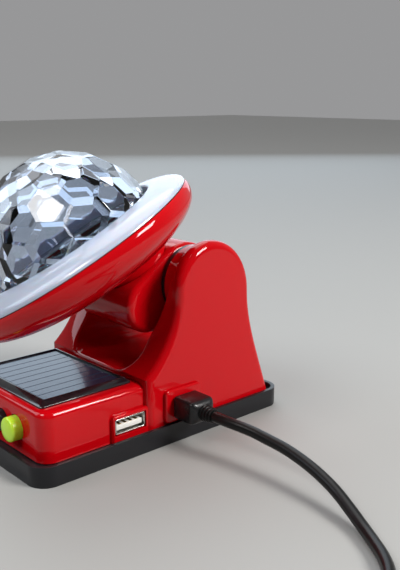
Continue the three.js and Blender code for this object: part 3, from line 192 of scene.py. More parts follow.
def make_material(
    name, colour, roughness, spread=0.05, scuff_scale=60, grain=None, dust=0, **shader_values
):
    material = bpy.data.materials.new(name)
    material.use_nodes = True
    tree = material.node_tree
    shader = tree.nodes["Principled BSDF"]
    shader.inputs["Base Color"].default_value = (*colour, 1.0)
    for label, value in shader_values.items():
        shader.inputs[label.replace("_", " ")].default_value = value
    scuffed = use_group(tree, SCUFFS, Roughness=roughness, Spread=spread, Scale=scuff_scale)
    tree.links.new(scuffed, shader.inputs["Roughness"])
    if grain:
        depth, scale = grain
        bump = tree.nodes.new("ShaderNodeBump")
        bump.inputs["Strength"].default_value = 1.0
        bump.inputs["Distance"].default_value = depth * MM
        tree.links.new(use_group(tree, GRAIN, Scale=scale), bump.inputs["Height"])
        tree.links.new(bump.outputs["Normal"], shader.inputs["Normal"])
    if dust:
        lay_over(tree, shader.inputs["Base Color"], DUST_COLOUR, use_group(tree, DUST, Amount=dust))
    finishes[name] = material
    return material


# %% The plastics, rubber and metals
make_material(
    "red_gloss", (0.47, 0.001, 0.004), 0.05, spread=0.025, grain=(0.0006, 90), dust=0.003,
    Specular_IOR_Level=0.32,
)
make_material(
    "white_diffuser", (0.42, 0.46, 0.56), 0.2, spread=0.04, grain=(0.0003, 80),
    Subsurface_Weight=0.3, Subsurface_Scale=0.004, Coat_Weight=0.4, Coat_Roughness=0.05,
)
make_material(
    "black_satin", (0.008, 0.008, 0.010), 0.32, spread=0.12, grain=(0.012, 2600), dust=0.02,
    Specular_IOR_Level=0.35,
)
make_material(
    "black_plug", (0.008, 0.008, 0.009), 0.28, spread=0.1, grain=(0.01, 2200), dust=0.015,
    Specular_IOR_Level=0.4,
)
make_material(
    "black_gloss", (0.006, 0.006, 0.008), 0.16, spread=0.06, dust=0.03,
    Coat_Weight=0.6, Coat_Roughness=0.05,
)
make_material(
    "black_rubber", (0.006, 0.006, 0.006), 0.30, spread=0.1, grain=(0.008, 1400), dust=0.01,
    Specular_IOR_Level=0.25,
)
make_material(
    "pad_rubber", (0.02, 0.02, 0.02), 0.75, spread=0.1, grain=(0.05, 1800),
)
make_material(
    "lime_plastic", (0.50, 0.76, 0.035), 0.3, spread=0.08, grain=(0.008, 1200),
    Subsurface_Weight=0.2, Subsurface_Scale=0.002, Coat_Weight=0.2,
)
make_material("white_plastic", (0.80, 0.79, 0.74), 0.35, spread=0.08)
make_material(
    "steel", (0.62, 0.60, 0.57), 0.22, spread=0.18, scuff_scale=500, grain=(0.004, 3000),
    Metallic=1.0,
)
make_material("brass", (0.78, 0.52, 0.20), 0.22, spread=0.1, Metallic=1.0)
make_material("green_board", (0.015, 0.16, 0.06), 0.35, spread=0.1, Coat_Weight=0.4)
make_material("white_board", (0.78, 0.79, 0.76), 0.4, spread=0.1)
make_material("cell_wrap", (0.03, 0.14, 0.42), 0.3, spread=0.1, Coat_Weight=0.3)
print("materials:", len(finishes))

# %% [markdown]
# Light has to pass through the clear dome and its carrier, and bend. The Principled shader does
# that once Transmission is 1. Facets stay sharp only if the surface is almost perfectly smooth,
# so the scuffs are very weak here.

# %% Clear plastics and the lamps
make_material(
    "crystal", (0.70, 0.75, 0.84), 0.008, spread=0.008, scuff_scale=40,
    Transmission_Weight=1.0, IOR=1.53,
)
make_material(
    "clear_plastic", (0.93, 0.96, 0.97), 0.06, spread=0.04, Transmission_Weight=0.9, IOR=1.49,
)
LAMP_COLOURS = {
    "led_red": (0.75, 0.05, 0.03),
    "led_green": (0.05, 0.60, 0.12),
    "led_blue": (0.05, 0.12, 0.80),
    "led_white": (0.90, 0.85, 0.55),
}
for name, colour in LAMP_COLOURS.items():
    make_material(name, colour, 0.08, spread=0.03, Transmission_Weight=0.5, IOR=1.45)
print("clear materials and lamps:", len(LAMP_COLOURS) + 2)

# %% [markdown]
# The solar panel is dark silicon under clear resin, with faint printed fingers across each
# strip. They aren't raised, so a repeating band in the colour is the honest way to make them.

# %% Solar cells with their printed fingers
FINGER_PITCH = 1.3
FINGER_WIDTH_SHARE = 0.07
FINGER_COLOUR = (0.045, 0.055, 0.085, 1.0)

solar_tree = make_material(
    "solar_cells", (0.010, 0.014, 0.035), 0.2, spread=0.05, scuff_scale=120, dust=0.04,
    Coat_Weight=0.3, Coat_Roughness=0.05, Specular_Tint=(0.45, 0.72, 1.0, 1.0),
).node_tree
place = solar_tree.nodes.new("ShaderNodeTexCoord")
split = solar_tree.nodes.new("ShaderNodeSeparateXYZ")
solar_tree.links.new(place.outputs["Object"], split.inputs[0])
counted = math_node(solar_tree, "DIVIDE", split.outputs["Y"], FINGER_PITCH * MM)
within = math_node(solar_tree, "FRACT", counted)
on_finger = math_node(solar_tree, "LESS_THAN", within, FINGER_WIDTH_SHARE)
solar_colour = solar_tree.nodes["Principled BSDF"].inputs["Base Color"]
lay_over(solar_tree, solar_colour, FINGER_COLOUR, on_finger)
print("a printed finger every", FINGER_PITCH, "mm")

# %% [markdown]
# ## The lead
# A round 3.9 mm charging lead leaves its plug, arches over the tray and lies down on the ground,
# where the photograph loses it. Such a lead is about 0.9 m long with its plugs, so the rest is
# wound in a flat coil just past the view. A curve with a round bevel is the natural way to make
# it: its points are the ones of the solid model, given again in millimetres.

# %% The lead's route
LEAD_DIAMETER = 3.9
LEAD_ROUTE = [
    (49.6, 4.75, 13.5), (53.6, 4.75, 13.5), (58.6, 5.4, 13.3), (65.5, 6.9, 12.6),
    (72.0, 7.7, 11.7), (79.0, 8.1, 10.9), (85.2, 8.0, 9.9), (91.4, 7.4, 8.8),
    (96.6, 6.6, 7.7), (101.7, 5.5, 6.5), (106.2, 4.2, 5.3), (110.9, 2.4, 4.1),
    (115.2, 0.6, 3.1), (119.6, -1.5, 2.3), (125.0, -4.6, 1.96), (130.5, -8.3, 1.96),
    (135.6, -13.0, 1.96), (139.6, -18.8, 1.96), (142.1, -25.2, 2.05), (143.3, -32.0, 2.3),
    (143.6, -38.5, 2.65), (143.6, -45.0, 2.75),
]
COIL_ENTRY = Vector((143.6, -45.3, 2.75))
COIL_PITCH = 4.4
COIL_TURNS = 5.5
COIL_MIDDLE_RADIUS = 21.5
COIL_CLIMB_TURNS = 0.5
COIL_STEPS = 36
TAIL_LENGTH = 15
FAR_PLUG_HEIGHT = 8
FIT = 0.3

coil_inner = COIL_MIDDLE_RADIUS - COIL_PITCH * COIL_TURNS / 4
coil_outer = coil_inner + COIL_PITCH * COIL_TURNS / 2
coil_centre = COIL_ENTRY + Vector((coil_outer, -LEAD_DIAMETER, 0))


def coil_point(turn):
    """Winds inwards on the ground, climbs one layer and winds outwards again."""
    from_middle = turn - COIL_TURNS / 2
    radius = coil_inner + COIL_PITCH * abs(from_middle)
    share = min(max(from_middle / COIL_CLIMB_TURNS + 0.5, 0), 1)
    climb = share * share * (3 - 2 * share)
    angle = pi + 2 * pi * turn
    spoke = Vector((radius * cos(angle), radius * sin(angle), COIL_PITCH * climb))
    return coil_centre + spoke


coil_count = round(COIL_TURNS * COIL_STEPS)
coil_route = [coil_point(step * COIL_TURNS / coil_count) for step in range(coil_count + 1)]
straight = Vector((0, LEAD_DIAMETER, 0))
tail_start = coil_route[-1] + straight + Vector((0, FIT, 0))
tail_end = Vector((tail_start.x, tail_start.y + TAIL_LENGTH, FAR_PLUG_HEIGHT / 2))
tail_route = [
    tail_start, tail_start + straight, (tail_start + tail_end) / 2, tail_end - straight, tail_end,
]
print("coil radii in mm:", round(coil_inner, 1), "to", round(coil_outer, 1))


# %% Smooth the given points and sweep the lead
def smooth_through(points, steps=4):
    """A Catmull-Rom curve through the points, with the given steps between neighbours."""
    padded = [2 * points[0] - points[1], *points, 2 * points[-1] - points[-2]]
    smoothed = []
    for before, start, end, after in zip(padded, padded[1:], padded[2:], padded[3:]):
        handle = start + (end - before) / 6
        other = end - (after - start) / 6
        smoothed += interpolate_bezier(start, handle, other, end, steps + 1)[:-1]
    return [*smoothed, points[-1]]


lead_points = smooth_through([Vector(point) for point in LEAD_ROUTE])
lead_points += coil_route
lead_points += smooth_through(tail_route)

lead_curve = bpy.data.curves.new("charge_lead_cord", "CURVE")
lead_curve.dimensions = "3D"
lead_curve.bevel_depth = LEAD_DIAMETER / 2 * MM
lead_curve.bevel_resolution = 5
lead_curve.use_fill_caps = True
spline = lead_curve.splines.new("POLY")
spline.points.add(len(lead_points) - 1)
for target, point in zip(spline.points, lead_points):
    target.co = (*(point * MM), 1.0)
lead_curve.materials.append(finishes["black_rubber"])
lead_cord = show("charge_lead_cord", lead_curve)
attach(lead_cord, "base")
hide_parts("charge_lead", "lead_coil", "lead_tail")

# %% [markdown]
# ## Shaping helpers
# Most of this object is moulded plastic: slabs with rounded corners, turned shapes and pushed
# outlines, all with softened edges. A few helpers make those in millimetres with mesh
# operators, and leave scaling and placing to one function at the end.


# %% Spans, places and turns
def about(centre, half):
    """The span from half a size before the centre to half a size past it."""
    return (centre - half, centre + half)


def mirrored(near, far):
    """A span on the left side and the same one on the right."""
    return [(-far, -near), (near, far)]


def row(count, pitch):
    """Offsets of equal steps about zero."""
    return [pitch * (index - (count - 1) / 2) for index in range(count)]


def around(count, radius, start):
    """Places spread evenly on a circle, the first one at the start angle."""
    turns = [radians(start) + 2 * pi * index / count for index in range(count)]
    return [(radius * cos(turn), radius * sin(turn)) for turn in turns]


def at(x, y, z=0):
    return Matrix.Translation((x, y, z))


def spin(angle, axis):
    return Matrix.Rotation(radians(angle), 4, axis)


def along_x(a, b, c):
    return Vector((c, a, b))


def along_y(a, b, c):
    return Vector((a, c, b))


def along_z(a, b, c):
    return Vector((a, b, c))


# %% Slabs, prisms and turned shapes
def bevel(bm, edges, radius, steps, clamp=False):
    bmesh.ops.bevel(
        bm, geom=edges, offset=radius, segments=steps, profile=0.5, affect="EDGES",
        clamp_overlap=clamp, material=-1,
    )
    return bm


def slab(x_span, y_span, z_span, corner=0, steps=0):
    """A box whose upright edges are rounded by the corner radius."""
    spans = (x_span, y_span, z_span)
    bm = bmesh.new()
    bmesh.ops.create_cube(bm, size=1)
    bmesh.ops.scale(bm, vec=[high - low for low, high in spans], verts=bm.verts)
    bmesh.ops.translate(bm, vec=[sum(span) / 2 for span in spans], verts=bm.verts)
    if corner:
        upright = [e for e in bm.edges if (e.verts[0].co - e.verts[1].co).xy.length < MM]
        bevel(bm, upright, corner, steps)
    return bm


def prism(outline, span, place):
    """An outline of (a, b) points pushed from span[0] to span[1]; place gives a position."""
    bm = bmesh.new()
    face = bm.faces.new([bm.verts.new(place(a, b, span[0])) for a, b in outline])
    grown = bmesh.ops.extrude_face_region(bm, geom=[face])
    far = [item for item in grown["geom"] if isinstance(item, bmesh.types.BMVert)]
    bmesh.ops.translate(bm, vec=place(0, 0, span[1]) - place(0, 0, span[0]), verts=far)
    bmesh.ops.recalc_face_normals(bm, faces=bm.faces)
    return bm


def turned(profile, steps=96, closed=False):
    """A profile of (radius, height) points spun round the Z axis."""
    bm = bmesh.new()
    corners = [bm.verts.new((radius, 0, height)) for radius, height in profile]
    links = list(zip(corners, corners[1:]))
    if closed:
        links.append((corners[-1], corners[0]))
    edges = [bm.edges.new(pair) for pair in links]
    bmesh.ops.spin(
        bm, geom=[*corners, *edges], cent=(0, 0, 0), axis=(0, 0, 1), angle=2 * pi,
        steps=steps, use_merge=True, use_duplicate=False,
    )
    bmesh.ops.remove_doubles(bm, verts=bm.verts, dist=MM)
    bmesh.ops.recalc_face_normals(bm, faces=bm.faces)
    return bm


def rod(radius, span, steps=48):
    low, high = span
    return turned([(0, low), (radius, low), (radius, high), (0, high)], steps)


# %% Edges: choose them by place or angle and round them
def round_ends(bm, half_x, radius, steps):
    """Rounds the rims of the two end faces of a shape pushed along X."""
    def at_one_end(edge):
        first, second = (vert.co.x for vert in edge.verts)
        return abs(first - second) < MM and abs(abs(first) - half_x) < MM

    return bevel(bm, [e for e in bm.edges if at_one_end(e)], radius, steps)


def soften(bm, radius, steps=3, least=30.0, where=None, clamp=True):
    """Rounds the edges that turn by more than the least angle, all of them or where asked."""
    limit = radians(least)
    edges = [e for e in bm.edges if len(e.link_faces) == 2 and e.calc_face_angle(0) > limit]
    if where:
        edges = [e for e in edges if all(where(v.co) for v in e.verts)]
    return bevel(bm, edges, radius, steps, clamp)


# %% Cutting and joining solids
def scratch_mesh(bm):
    mesh = bpy.data.meshes.new("scratch")
    bm.to_mesh(mesh)
    bm.free()
    return mesh


def combine(bm, tools, operation):
    """Joins the tools to the solid, or cuts them out of it, one after another."""
    for tool in tools:
        target = show("scratch", scratch_mesh(bm))
        other = show("scratch", scratch_mesh(tool))
        modifier = target.modifiers.new("combine", "BOOLEAN")
        modifier.operation = operation
        modifier.solver = "MANIFOLD"
        modifier.object = other
        ready = target.evaluated_get(bpy.context.evaluated_depsgraph_get())
        bm = bmesh.new()
        bm.from_mesh(ready.to_mesh())
        ready.to_mesh_clear()
        for obj in (target, other):
            mesh = obj.data
            bpy.data.objects.remove(obj)
            bpy.data.meshes.remove(mesh)
    return bm


def cut(bm, *tools):
    return combine(bm, tools, "DIFFERENCE")


def join(bm, *tools):
    return combine(bm, tools, "UNION")


def gather(*parts):
    """Separate closed shells kept side by side in one mesh."""
    whole = bmesh.new()
    for part in parts:
        mesh = scratch_mesh(part)
        whole.from_mesh(mesh)
        bpy.data.meshes.remove(mesh)
    return whole


def moved(bm, matrix):
    bmesh.ops.transform(bm, matrix=matrix, verts=bm.verts)
    return bm


# %% The last step for every piece
def add_piece(name, bm, finish, body, stands_for=None, place=None, sharp=35.0):
    """Scales the mesh to metres, puts it in place and lets it ride on its body."""
    matrix = Matrix.Scale(MM, 4)
    if place:
        matrix = matrix @ place
    moved(bm, matrix)
    for face in bm.faces:
        face.smooth = True
    for edge in bm.edges:
        edge.smooth = edge.calc_face_angle(0) < radians(sharp)
    open_edges = sum(len(edge.link_faces) != 2 for edge in bm.edges)
    print(f"{name}: {len(bm.faces)} faces, {open_edges} open edges")
    mesh = bpy.data.meshes.new(name)
    bm.to_mesh(mesh)
    bm.free()
    mesh.materials.append(finishes[finish])
    piece = show(name, mesh)
    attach(piece, body)
    if stands_for:
        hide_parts(stands_for)
    return piece


# %% [markdown]
# ## The tray
# The black tray is one moulding: a flat floor, a ledge that the red housing stands on and a thin
# rim round it. Insets and extrusions of a rounded slab's top face give the rim and the ledge in
# the order in which a mould maker would cut them.

# %% Base tray
TRAY_LENGTH = 114.5
TRAY_WIDTH = 68
TRAY_HEIGHT = 7.2
TRAY_CORNER = 7
TRAY_RIM = 1.5
TRAY_LEDGE = 5.2
TRAY_LEDGE_WIDTH = 6
TRAY_FLOOR = 2.6
TRAY_EDGE = 0.45
FRONT = -TRAY_LENGTH / 2
BACK = TRAY_LENGTH / 2
PAD_RADIUS = 5
PAD_DEPTH = 0.9
SCREW_HEAD_RADIUS = 2.3
SCREW_HOLE_RADIUS = 1.45
TRAY_SCREW_ROOM = (-1, 1.6, 9)


def on_both_sides(*places):
    """Each place, followed by its mirror image on the left."""
    return [(side * x, y) for x, y in places for side in (1, -1)]


PAD_PLACES = on_both_sides(
    (TRAY_WIDTH / 2 - 9.5, FRONT + 25), (TRAY_WIDTH / 2 - 9.5, BACK - 20)
)
SCREW_PLACES = on_both_sides((22.6, FRONT + 11.8), (16, BACK - 17))


def top_face(bm):
    return max(bm.faces, key=lambda face: (face.calc_center_median().z, face.calc_area()))


def step_down(bm, face, border, level_z):
    """Insets a face, pushes its middle down to a level and gives the sunk face."""
    bmesh.ops.inset_region(bm, faces=[face], thickness=border, use_even_offset=True)
    sunk = bmesh.ops.extrude_discrete_faces(bm, faces=[face])["faces"][0]
    drop = level_z - sunk.calc_center_median().z
    bmesh.ops.translate(bm, vec=(0, 0, drop), verts=sunk.verts)
    return sunk


def screw_room(start, seat, end):
    """A cutter for a sunk screw: wide as its head up to the seat, then narrow."""
    wide = SCREW_HEAD_RADIUS + FIT
    narrow = SCREW_HOLE_RADIUS
    profile = [(0, start), (wide, start), (wide, seat), (narrow, seat), (narrow, end), (0, end)]
    return turned(profile, 32)


tray = slab(about(0, TRAY_WIDTH / 2), (FRONT, BACK), (0, TRAY_HEIGHT), TRAY_CORNER, steps=12)
ledge = step_down(tray, top_face(tray), TRAY_RIM, TRAY_LEDGE)
step_down(tray, ledge, TRAY_LEDGE_WIDTH, TRAY_FLOOR)
soften(tray, TRAY_EDGE, least=60)
holes = [moved(rod(PAD_RADIUS + FIT, (-1, PAD_DEPTH)), at(x, y)) for x, y in PAD_PLACES]
holes += [moved(screw_room(*TRAY_SCREW_ROOM), at(x, y)) for x, y in SCREW_PLACES]
tray = cut(tray, *holes)
add_piece("tray_moulding", tray, "black_satin", "base", "base_tray")

# %% [markdown]
# Rubber pads and screws sit in the underside. Both are turned; the pad gets a shallow ring so
# that it grips, and the screw a cross recess, cut by two thin slabs.

# %% Rubber pads and screws
PAD_PROFILE = [
    (0, 0.15), (2.6, 0.15), (2.9, 0), (PAD_RADIUS - 0.3, 0), (PAD_RADIUS, 0.25),
    (PAD_RADIUS, PAD_DEPTH), (0, PAD_DEPTH),
]
for index, (x, y) in enumerate(PAD_PLACES, 1):
    add_piece(
        f"grip_pad_{index}", turned(PAD_PROFILE, 48), "pad_rubber", "base",
        f"rubber_pad_{index}", at(x, y),
    )

SHANK_RADIUS = 1.15
SCREW_HEAD_PROFILE = [
    (0, 0), (SCREW_HEAD_RADIUS - 0.5, 0), (SCREW_HEAD_RADIUS - 0.12, 0.22),
    (SCREW_HEAD_RADIUS, 0.55), (SCREW_HEAD_RADIUS, 1.0), (SHANK_RADIUS, 1.0),
]
THREAD_START = 1.3
THREAD_PITCH = 0.6
THREAD_DEPTH = 0.18
THREADLESS = 2.0
SCREW_TIP = (SHANK_RADIUS - 0.25, 0.4)
RECESS_HALF_LENGTH = 0.62 * SCREW_HEAD_RADIUS
RECESS_HALF = 0.28
RECESS_SPAN = (-1, 0.6)
FINE_SHARP = 50
TRAY_SCREW_LENGTH = 9


def make_screw(length):
    """A pan-head screw along +Z, its head's face at zero."""
    profile = list(SCREW_HEAD_PROFILE)
    for turn in range(int((length - THREADLESS) / THREAD_PITCH)):
        start = THREAD_START + THREAD_PITCH * turn
        profile += [(SHANK_RADIUS - THREAD_DEPTH, start), (SHANK_RADIUS, start + THREAD_PITCH / 2)]
    profile += [(SCREW_TIP[0], length - SCREW_TIP[1]), (0, length)]
    arm = about(0, RECESS_HALF_LENGTH)
    width = about(0, RECESS_HALF)
    return cut(turned(profile, 32), slab(arm, width, RECESS_SPAN), slab(width, arm, RECESS_SPAN))


def add_screws(word, body, packed_word, length, places):
    for index, place in enumerate(places, 1):
        add_piece(
            f"{word}_{index}", make_screw(length), "steel", body, f"{packed_word}_{index}",
            place, sharp=FINE_SHARP,
        )


places = [at(x, y, FIT) for x, y in SCREW_PLACES]
add_screws("pan_screw", "base", "tray_screw", TRAY_SCREW_LENGTH, places)

# %% [markdown]
# ## The housing
# The red housing is a low box in front and a yoke behind it. Seen from the side the yoke is a
# bell: it flares to the deck in front and to the tray behind. Its outline is pushed across the
# whole width and rounded at both ends, and a cutter with round lower corners makes the gap
# between the arms. Rounding the yoke before anything is joined to it keeps the bevel on clean,
# long faces. Booleans then add box, bosses and openings.

# %% The yoke's outline
WALL = 2
FOOT = TRAY_LEDGE + FIT
DECK = 23.5
BOX_HALF = TRAY_WIDTH / 2 - 5
BOX_FRONT = FRONT + 5
YOKE_HALF = TRAY_WIDTH / 2 - 2.2
YOKE_FRONT = FRONT + 46.5
YOKE_BACK = BACK - 4.6
YOKE_TOP_RADIUS = 16.7
YOKE_BACK_BULGE = 2.6
YOKE_BACK_DROP = 4.5
YOKE_EDGE = 3
FLARE_FOOT = 25.4
PIVOT = Vector((0, FRONT + 78.2, 55))
GAP_FLOOR = DECK + 1.4
GAP_HALF = 19.8
GAP_TOP_HALF = 26.6
GAP_CORNER = 8
GAP_FLARE_START = 37
GAP_FLARE_END = 61
GAP_EDGE = 1.1
CLOSE = 0.05
RIGHT_ACROSS = (-60, 60)
ABOVE_ALL = 90
BELOW_ALL = -20


def arc(centre, radius, start, end, steps, rise=None):
    """Points on a circle, or on an ellipse where its half height differs from its radius."""
    turns = [radians(start + (end - start) * step / steps) for step in range(steps + 1)]
    return [
        (centre[0] + radius * cos(turn), centre[1] + (rise or radius) * sin(turn))
        for turn in turns
    ]


def bezier(start, handle, other, end, steps=18):
    knots = [Vector((a, b, 0)) for a, b in (start, handle, other, end)]
    return [(point.x, point.y) for point in interpolate_bezier(*knots, steps + 1)]


def yoke_outline(inset=0):
    front, back = YOKE_FRONT + inset, YOKE_BACK - inset
    radius = YOKE_TOP_RADIUS - inset
    foot = FLARE_FOOT - inset
    waist_front, waist_back = PIVOT.y - radius, PIVOT.y + radius + YOKE_BACK_BULGE
    waist_height = PIVOT.z - YOKE_BACK_DROP
    rise = PIVOT.z - foot
    fall = waist_height - FOOT
    low = FOOT - 3 * YOKE_EDGE
    front_sweep = bezier(
        (front, foot),
        (front + 0.48 * (waist_front - front), foot + 0.2 * rise),
        (waist_front, foot + 0.57 * rise),
        (waist_front, PIVOT.z),
    )
    back_sweep = bezier(
        (waist_back, waist_height),
        (waist_back, waist_height - 0.3 * fall),
        (waist_back + 0.55 * (back - waist_back), waist_height - 0.62 * fall),
        (back, FOOT),
    )
    crown = arc((PIVOT.y, PIVOT.z), radius, 180, 90, 14)
    shoulder = arc(
        (PIVOT.y, waist_height), radius + YOKE_BACK_BULGE, 90, 0, 16, rise=radius + YOKE_BACK_DROP
    )
    return [
        (back, low), (front, low), *front_sweep[:-1], *crown, *shoulder[1:], *back_sweep[1:],
    ]


def gap_outline(grow=0):
    half, top_half = GAP_HALF + grow, GAP_TOP_HALF + grow
    floor, corner = GAP_FLOOR - grow, GAP_CORNER + grow
    right = arc((half - corner, floor + corner), corner, -90, 0, 10)
    right += [(half, GAP_FLARE_START), (top_half, GAP_FLARE_END), (top_half, ABOVE_ALL)]
    return right + [(-a, b) for a, b in reversed(right)]


# %% Round the yoke's ends, then cut the gap and round its edges
def on_gap(point):
    """True where a point lies on the gap's surface, whose half width depends on its height."""
    above_floor = point.z - GAP_FLOOR
    if above_floor < -MM:
        return False
    share = (point.z - GAP_FLARE_START) / (GAP_FLARE_END - GAP_FLARE_START)
    half = GAP_HALF + min(max(share, 0), 1) * (GAP_TOP_HALF - GAP_HALF)
    if above_floor < GAP_CORNER:
        reach = GAP_CORNER - above_floor
        half = GAP_HALF - GAP_CORNER + sqrt(max(GAP_CORNER**2 - reach**2, 0))
        if above_floor < CLOSE:
            return abs(point.x) < half + CLOSE
    return abs(abs(point.x) - half) < CLOSE


yoke = prism(yoke_outline(), about(0, YOKE_HALF), along_x)
round_ends(yoke, YOKE_HALF, YOKE_EDGE, steps=7)
yoke = cut(yoke, prism(gap_outline(), RIGHT_ACROSS, along_y))
soften(yoke, GAP_EDGE, steps=4, least=35, where=on_gap, clamp=False)
print("yoke:", len(yoke.faces), "faces")

# %% Box, bosses and everything that opens the housing
BOX_CORNER = 5.5
BOX_UNDER_YOKE = 8
DECK_EDGE = 2.6
BOX_ROOM_EDGE = 1.0
BOSS_RADIUS = 14
BOSS_EDGE = 0.5
BOSS_ROOT = 3
BOSS_FACE = GAP_HALF - FIT / 2
AXLE_RADIUS = 5
AXLE_GRIP = 5.5
USB_SPAN = (FRONT + 32, FRONT + 48.3)
USB_BOSS = (FOOT - 3, 15.8)
USB_BOSS_FACE = BOX_HALF + 1.7
USB_WIDTH, USB_HEIGHT = 13.1, 5.7
USB_FOOT = 8.5
USB_CENTRE = (FRONT + 39.5, USB_FOOT + USB_HEIGHT / 2)
CHARGE_SPAN = (FRONT + 53.5, FRONT + 70.5)
CHARGE_BOSS = (7.6, 20)
CHARGE_BOSS_FACE = YOKE_HALF + 1.5
CHARGE_CENTRE = (sum(CHARGE_SPAN) / 2, 13.5)
PLUG_TIP = (8.4, 2.8)
SOCKET_DEPTH = 4
SIDE_BOSS_DEPTH = 4
SIDE_BOSS_CORNER = 1.6
SIDE_BOSS_EDGE = 0.7
BEZEL_HALF = TRAY_WIDTH / 2 - 9.5
BEZEL_SPAN = (FRONT + 7.5, FRONT + 45)
BEZEL_BORDER = 1.6
PANEL_ROOM_DEPTH = 5
BUTTON_HEIGHT = 14
POWER_BUTTON = (11.9, 4.35)
MODE_BUTTON = (2.4, 3.7)
BUTTON_ROOM = (BOX_FRONT - 1, BOX_FRONT + 4)
ARM_HOLLOW_TOP = 44
LAID_OVER = Matrix(((0, 0, 1, 0), (1, 0, 0, 0), (0, 1, 0, 0), (0, 0, 0, 1)))
TO_RIGHT = Matrix(((0, 0, 1, 0), (0, 1, 0, 0), (-1, 0, 0, 0), (0, 0, 0, 1)))
TO_BACK = Matrix(((1, 0, 0, 0), (0, 0, 1, 0), (0, -1, 0, 0), (0, 0, 0, 1)))


def block_between(low, high):
    """A cutter wider than the whole object, between two heights."""
    return slab(RIGHT_ACROSS, RIGHT_ACROSS, (low, high))


def rounded_box(x_span, y_span, z_span, corner, edge, steps=6):
    """A slab with round upright corners and a rounded top."""
    box = slab(x_span, y_span, z_span, corner, steps=10)
    return bevel(box, list(top_face(box).edges), edge, steps)


def side_boss(face_x, y_span, z_span):
    """A raised frame on the right side: a rounded box laid over, its top facing +X."""
    depth = (face_x - SIDE_BOSS_DEPTH, face_x)
    box = rounded_box(y_span, z_span, depth, SIDE_BOSS_CORNER, SIDE_BOSS_EDGE, steps=4)
    return moved(box, LAID_OVER)


def pivot_bar(radius, x_span, steps=48):
    """A round bar on the tilt axis."""
    return moved(rod(radius, x_span, steps), at(*PIVOT) @ TO_RIGHT)


def axle_rooms(near, far):
    return [pivot_bar(AXLE_RADIUS + FIT, span) for span in mirrored(near, far)]


def socket_room(wall_x, centre, width, height):
    """A cutter for a socket that opens to the right."""
    x_span = (wall_x - SOCKET_DEPTH, RIGHT_ACROSS[1])
    return slab(x_span, about(centre[0], width / 2 + FIT), about(centre[1], height / 2 + FIT))


yoke_start = YOKE_FRONT + YOKE_EDGE + WALL
box = rounded_box(
    about(0, BOX_HALF), (BOX_FRONT, yoke_start + BOX_UNDER_YOKE), (0, DECK), BOX_CORNER, DECK_EDGE
)
bosses = [
    soften(pivot_bar(BOSS_RADIUS, span, 96), BOSS_EDGE, least=60)
    for span in mirrored(BOSS_FACE, YOKE_HALF - BOSS_ROOT)
]
bosses.append(side_boss(USB_BOSS_FACE, USB_SPAN, USB_BOSS))
bosses.append(side_boss(CHARGE_BOSS_FACE, CHARGE_SPAN, CHARGE_BOSS))
shell = join(yoke, box, *bosses)

yoke_room = cut(
    prism(yoke_outline(WALL), about(0, YOKE_HALF - WALL), along_x),
    prism(gap_outline(WALL), RIGHT_ACROSS, along_y),
    block_between(ARM_HOLLOW_TOP, ABOVE_ALL),
)
box_room = rounded_box(
    about(0, BOX_HALF - WALL), (BOX_FRONT + WALL, yoke_start), (-1, DECK - WALL),
    BOX_CORNER - WALL, BOX_ROOM_EDGE, steps=3,
)
panel_room = slab(
    about(0, BEZEL_HALF - BEZEL_BORDER),
    (BEZEL_SPAN[0] + BEZEL_BORDER, BEZEL_SPAN[1] - BEZEL_BORDER),
    about(DECK, PANEL_ROOM_DEPTH),
)
usb_room = socket_room(BOX_HALF, USB_CENTRE, USB_WIDTH, USB_HEIGHT)
plug_room = socket_room(YOKE_HALF, CHARGE_CENTRE, *PLUG_TIP)
button_rooms = [
    moved(rod(radius + FIT, BUTTON_ROOM), at(x, 0, BUTTON_HEIGHT) @ TO_BACK)
    for x, radius in (POWER_BUTTON, MODE_BUTTON)
]
shell = cut(
    shell, yoke_room, box_room, block_between(BELOW_ALL, FOOT), panel_room, usb_room, plug_room,
    *button_rooms, *axle_rooms(BOSS_FACE - 1, BOSS_FACE + AXLE_GRIP + FIT),
)
add_piece("red_housing", shell, "red_gloss", "base", "base_housing")

# %% [markdown]
# ## The solar panel
# A black frame with sloping sides stands on the deck and holds nine dark strips under resin. Its
# sections are rounded rectangles of one point count at different heights, so bridging them in
# turn gives the slope, the flat and the inner wall. Each strip is a plain thin slab.


# %% Rounded rectangles bridged into frames and blocks
def rounded_loop(half_a, half_b, corner):
    """Points of a rounded rectangle about the origin, anticlockwise."""
    points = []
    for turn, (side_a, side_b) in enumerate([(1, 1), (-1, 1), (-1, -1), (1, -1)]):
        middle = (side_a * (half_a - corner), side_b * (half_b - corner))
        points += arc(middle, corner, 90 * turn, 90 * turn + 90, 6)
    return points


def bridged(steps, centre, half, place, ring=False):
    """Rounded rectangles joined in order. A step is a position, an inset and a corner radius."""
    bm = bmesh.new()
    loops = []
    for position, inset, corner in steps:
        inset_a, inset_b = inset if isinstance(inset, tuple) else (inset, inset)
        loop = rounded_loop(half[0] - inset_a, half[1] - inset_b, corner)
        corners = [bm.verts.new(place(centre[0] + a, centre[1] + b, position)) for a, b in loop]
        loops.append([bm.edges.new(pair) for pair in zip(corners, corners[1:] + corners[:1])])
    pairs = list(zip(loops, loops[1:]))
    if ring:
        pairs.append((loops[-1], loops[0]))
    for low, high in pairs:
        bmesh.ops.bridge_loops(bm, edges=low + high)
    if not ring:
        for loop in (loops[0], loops[-1]):
            bmesh.ops.contextual_create(bm, geom=loop)
    bmesh.ops.recalc_face_normals(bm, faces=bm.faces)
    return bm


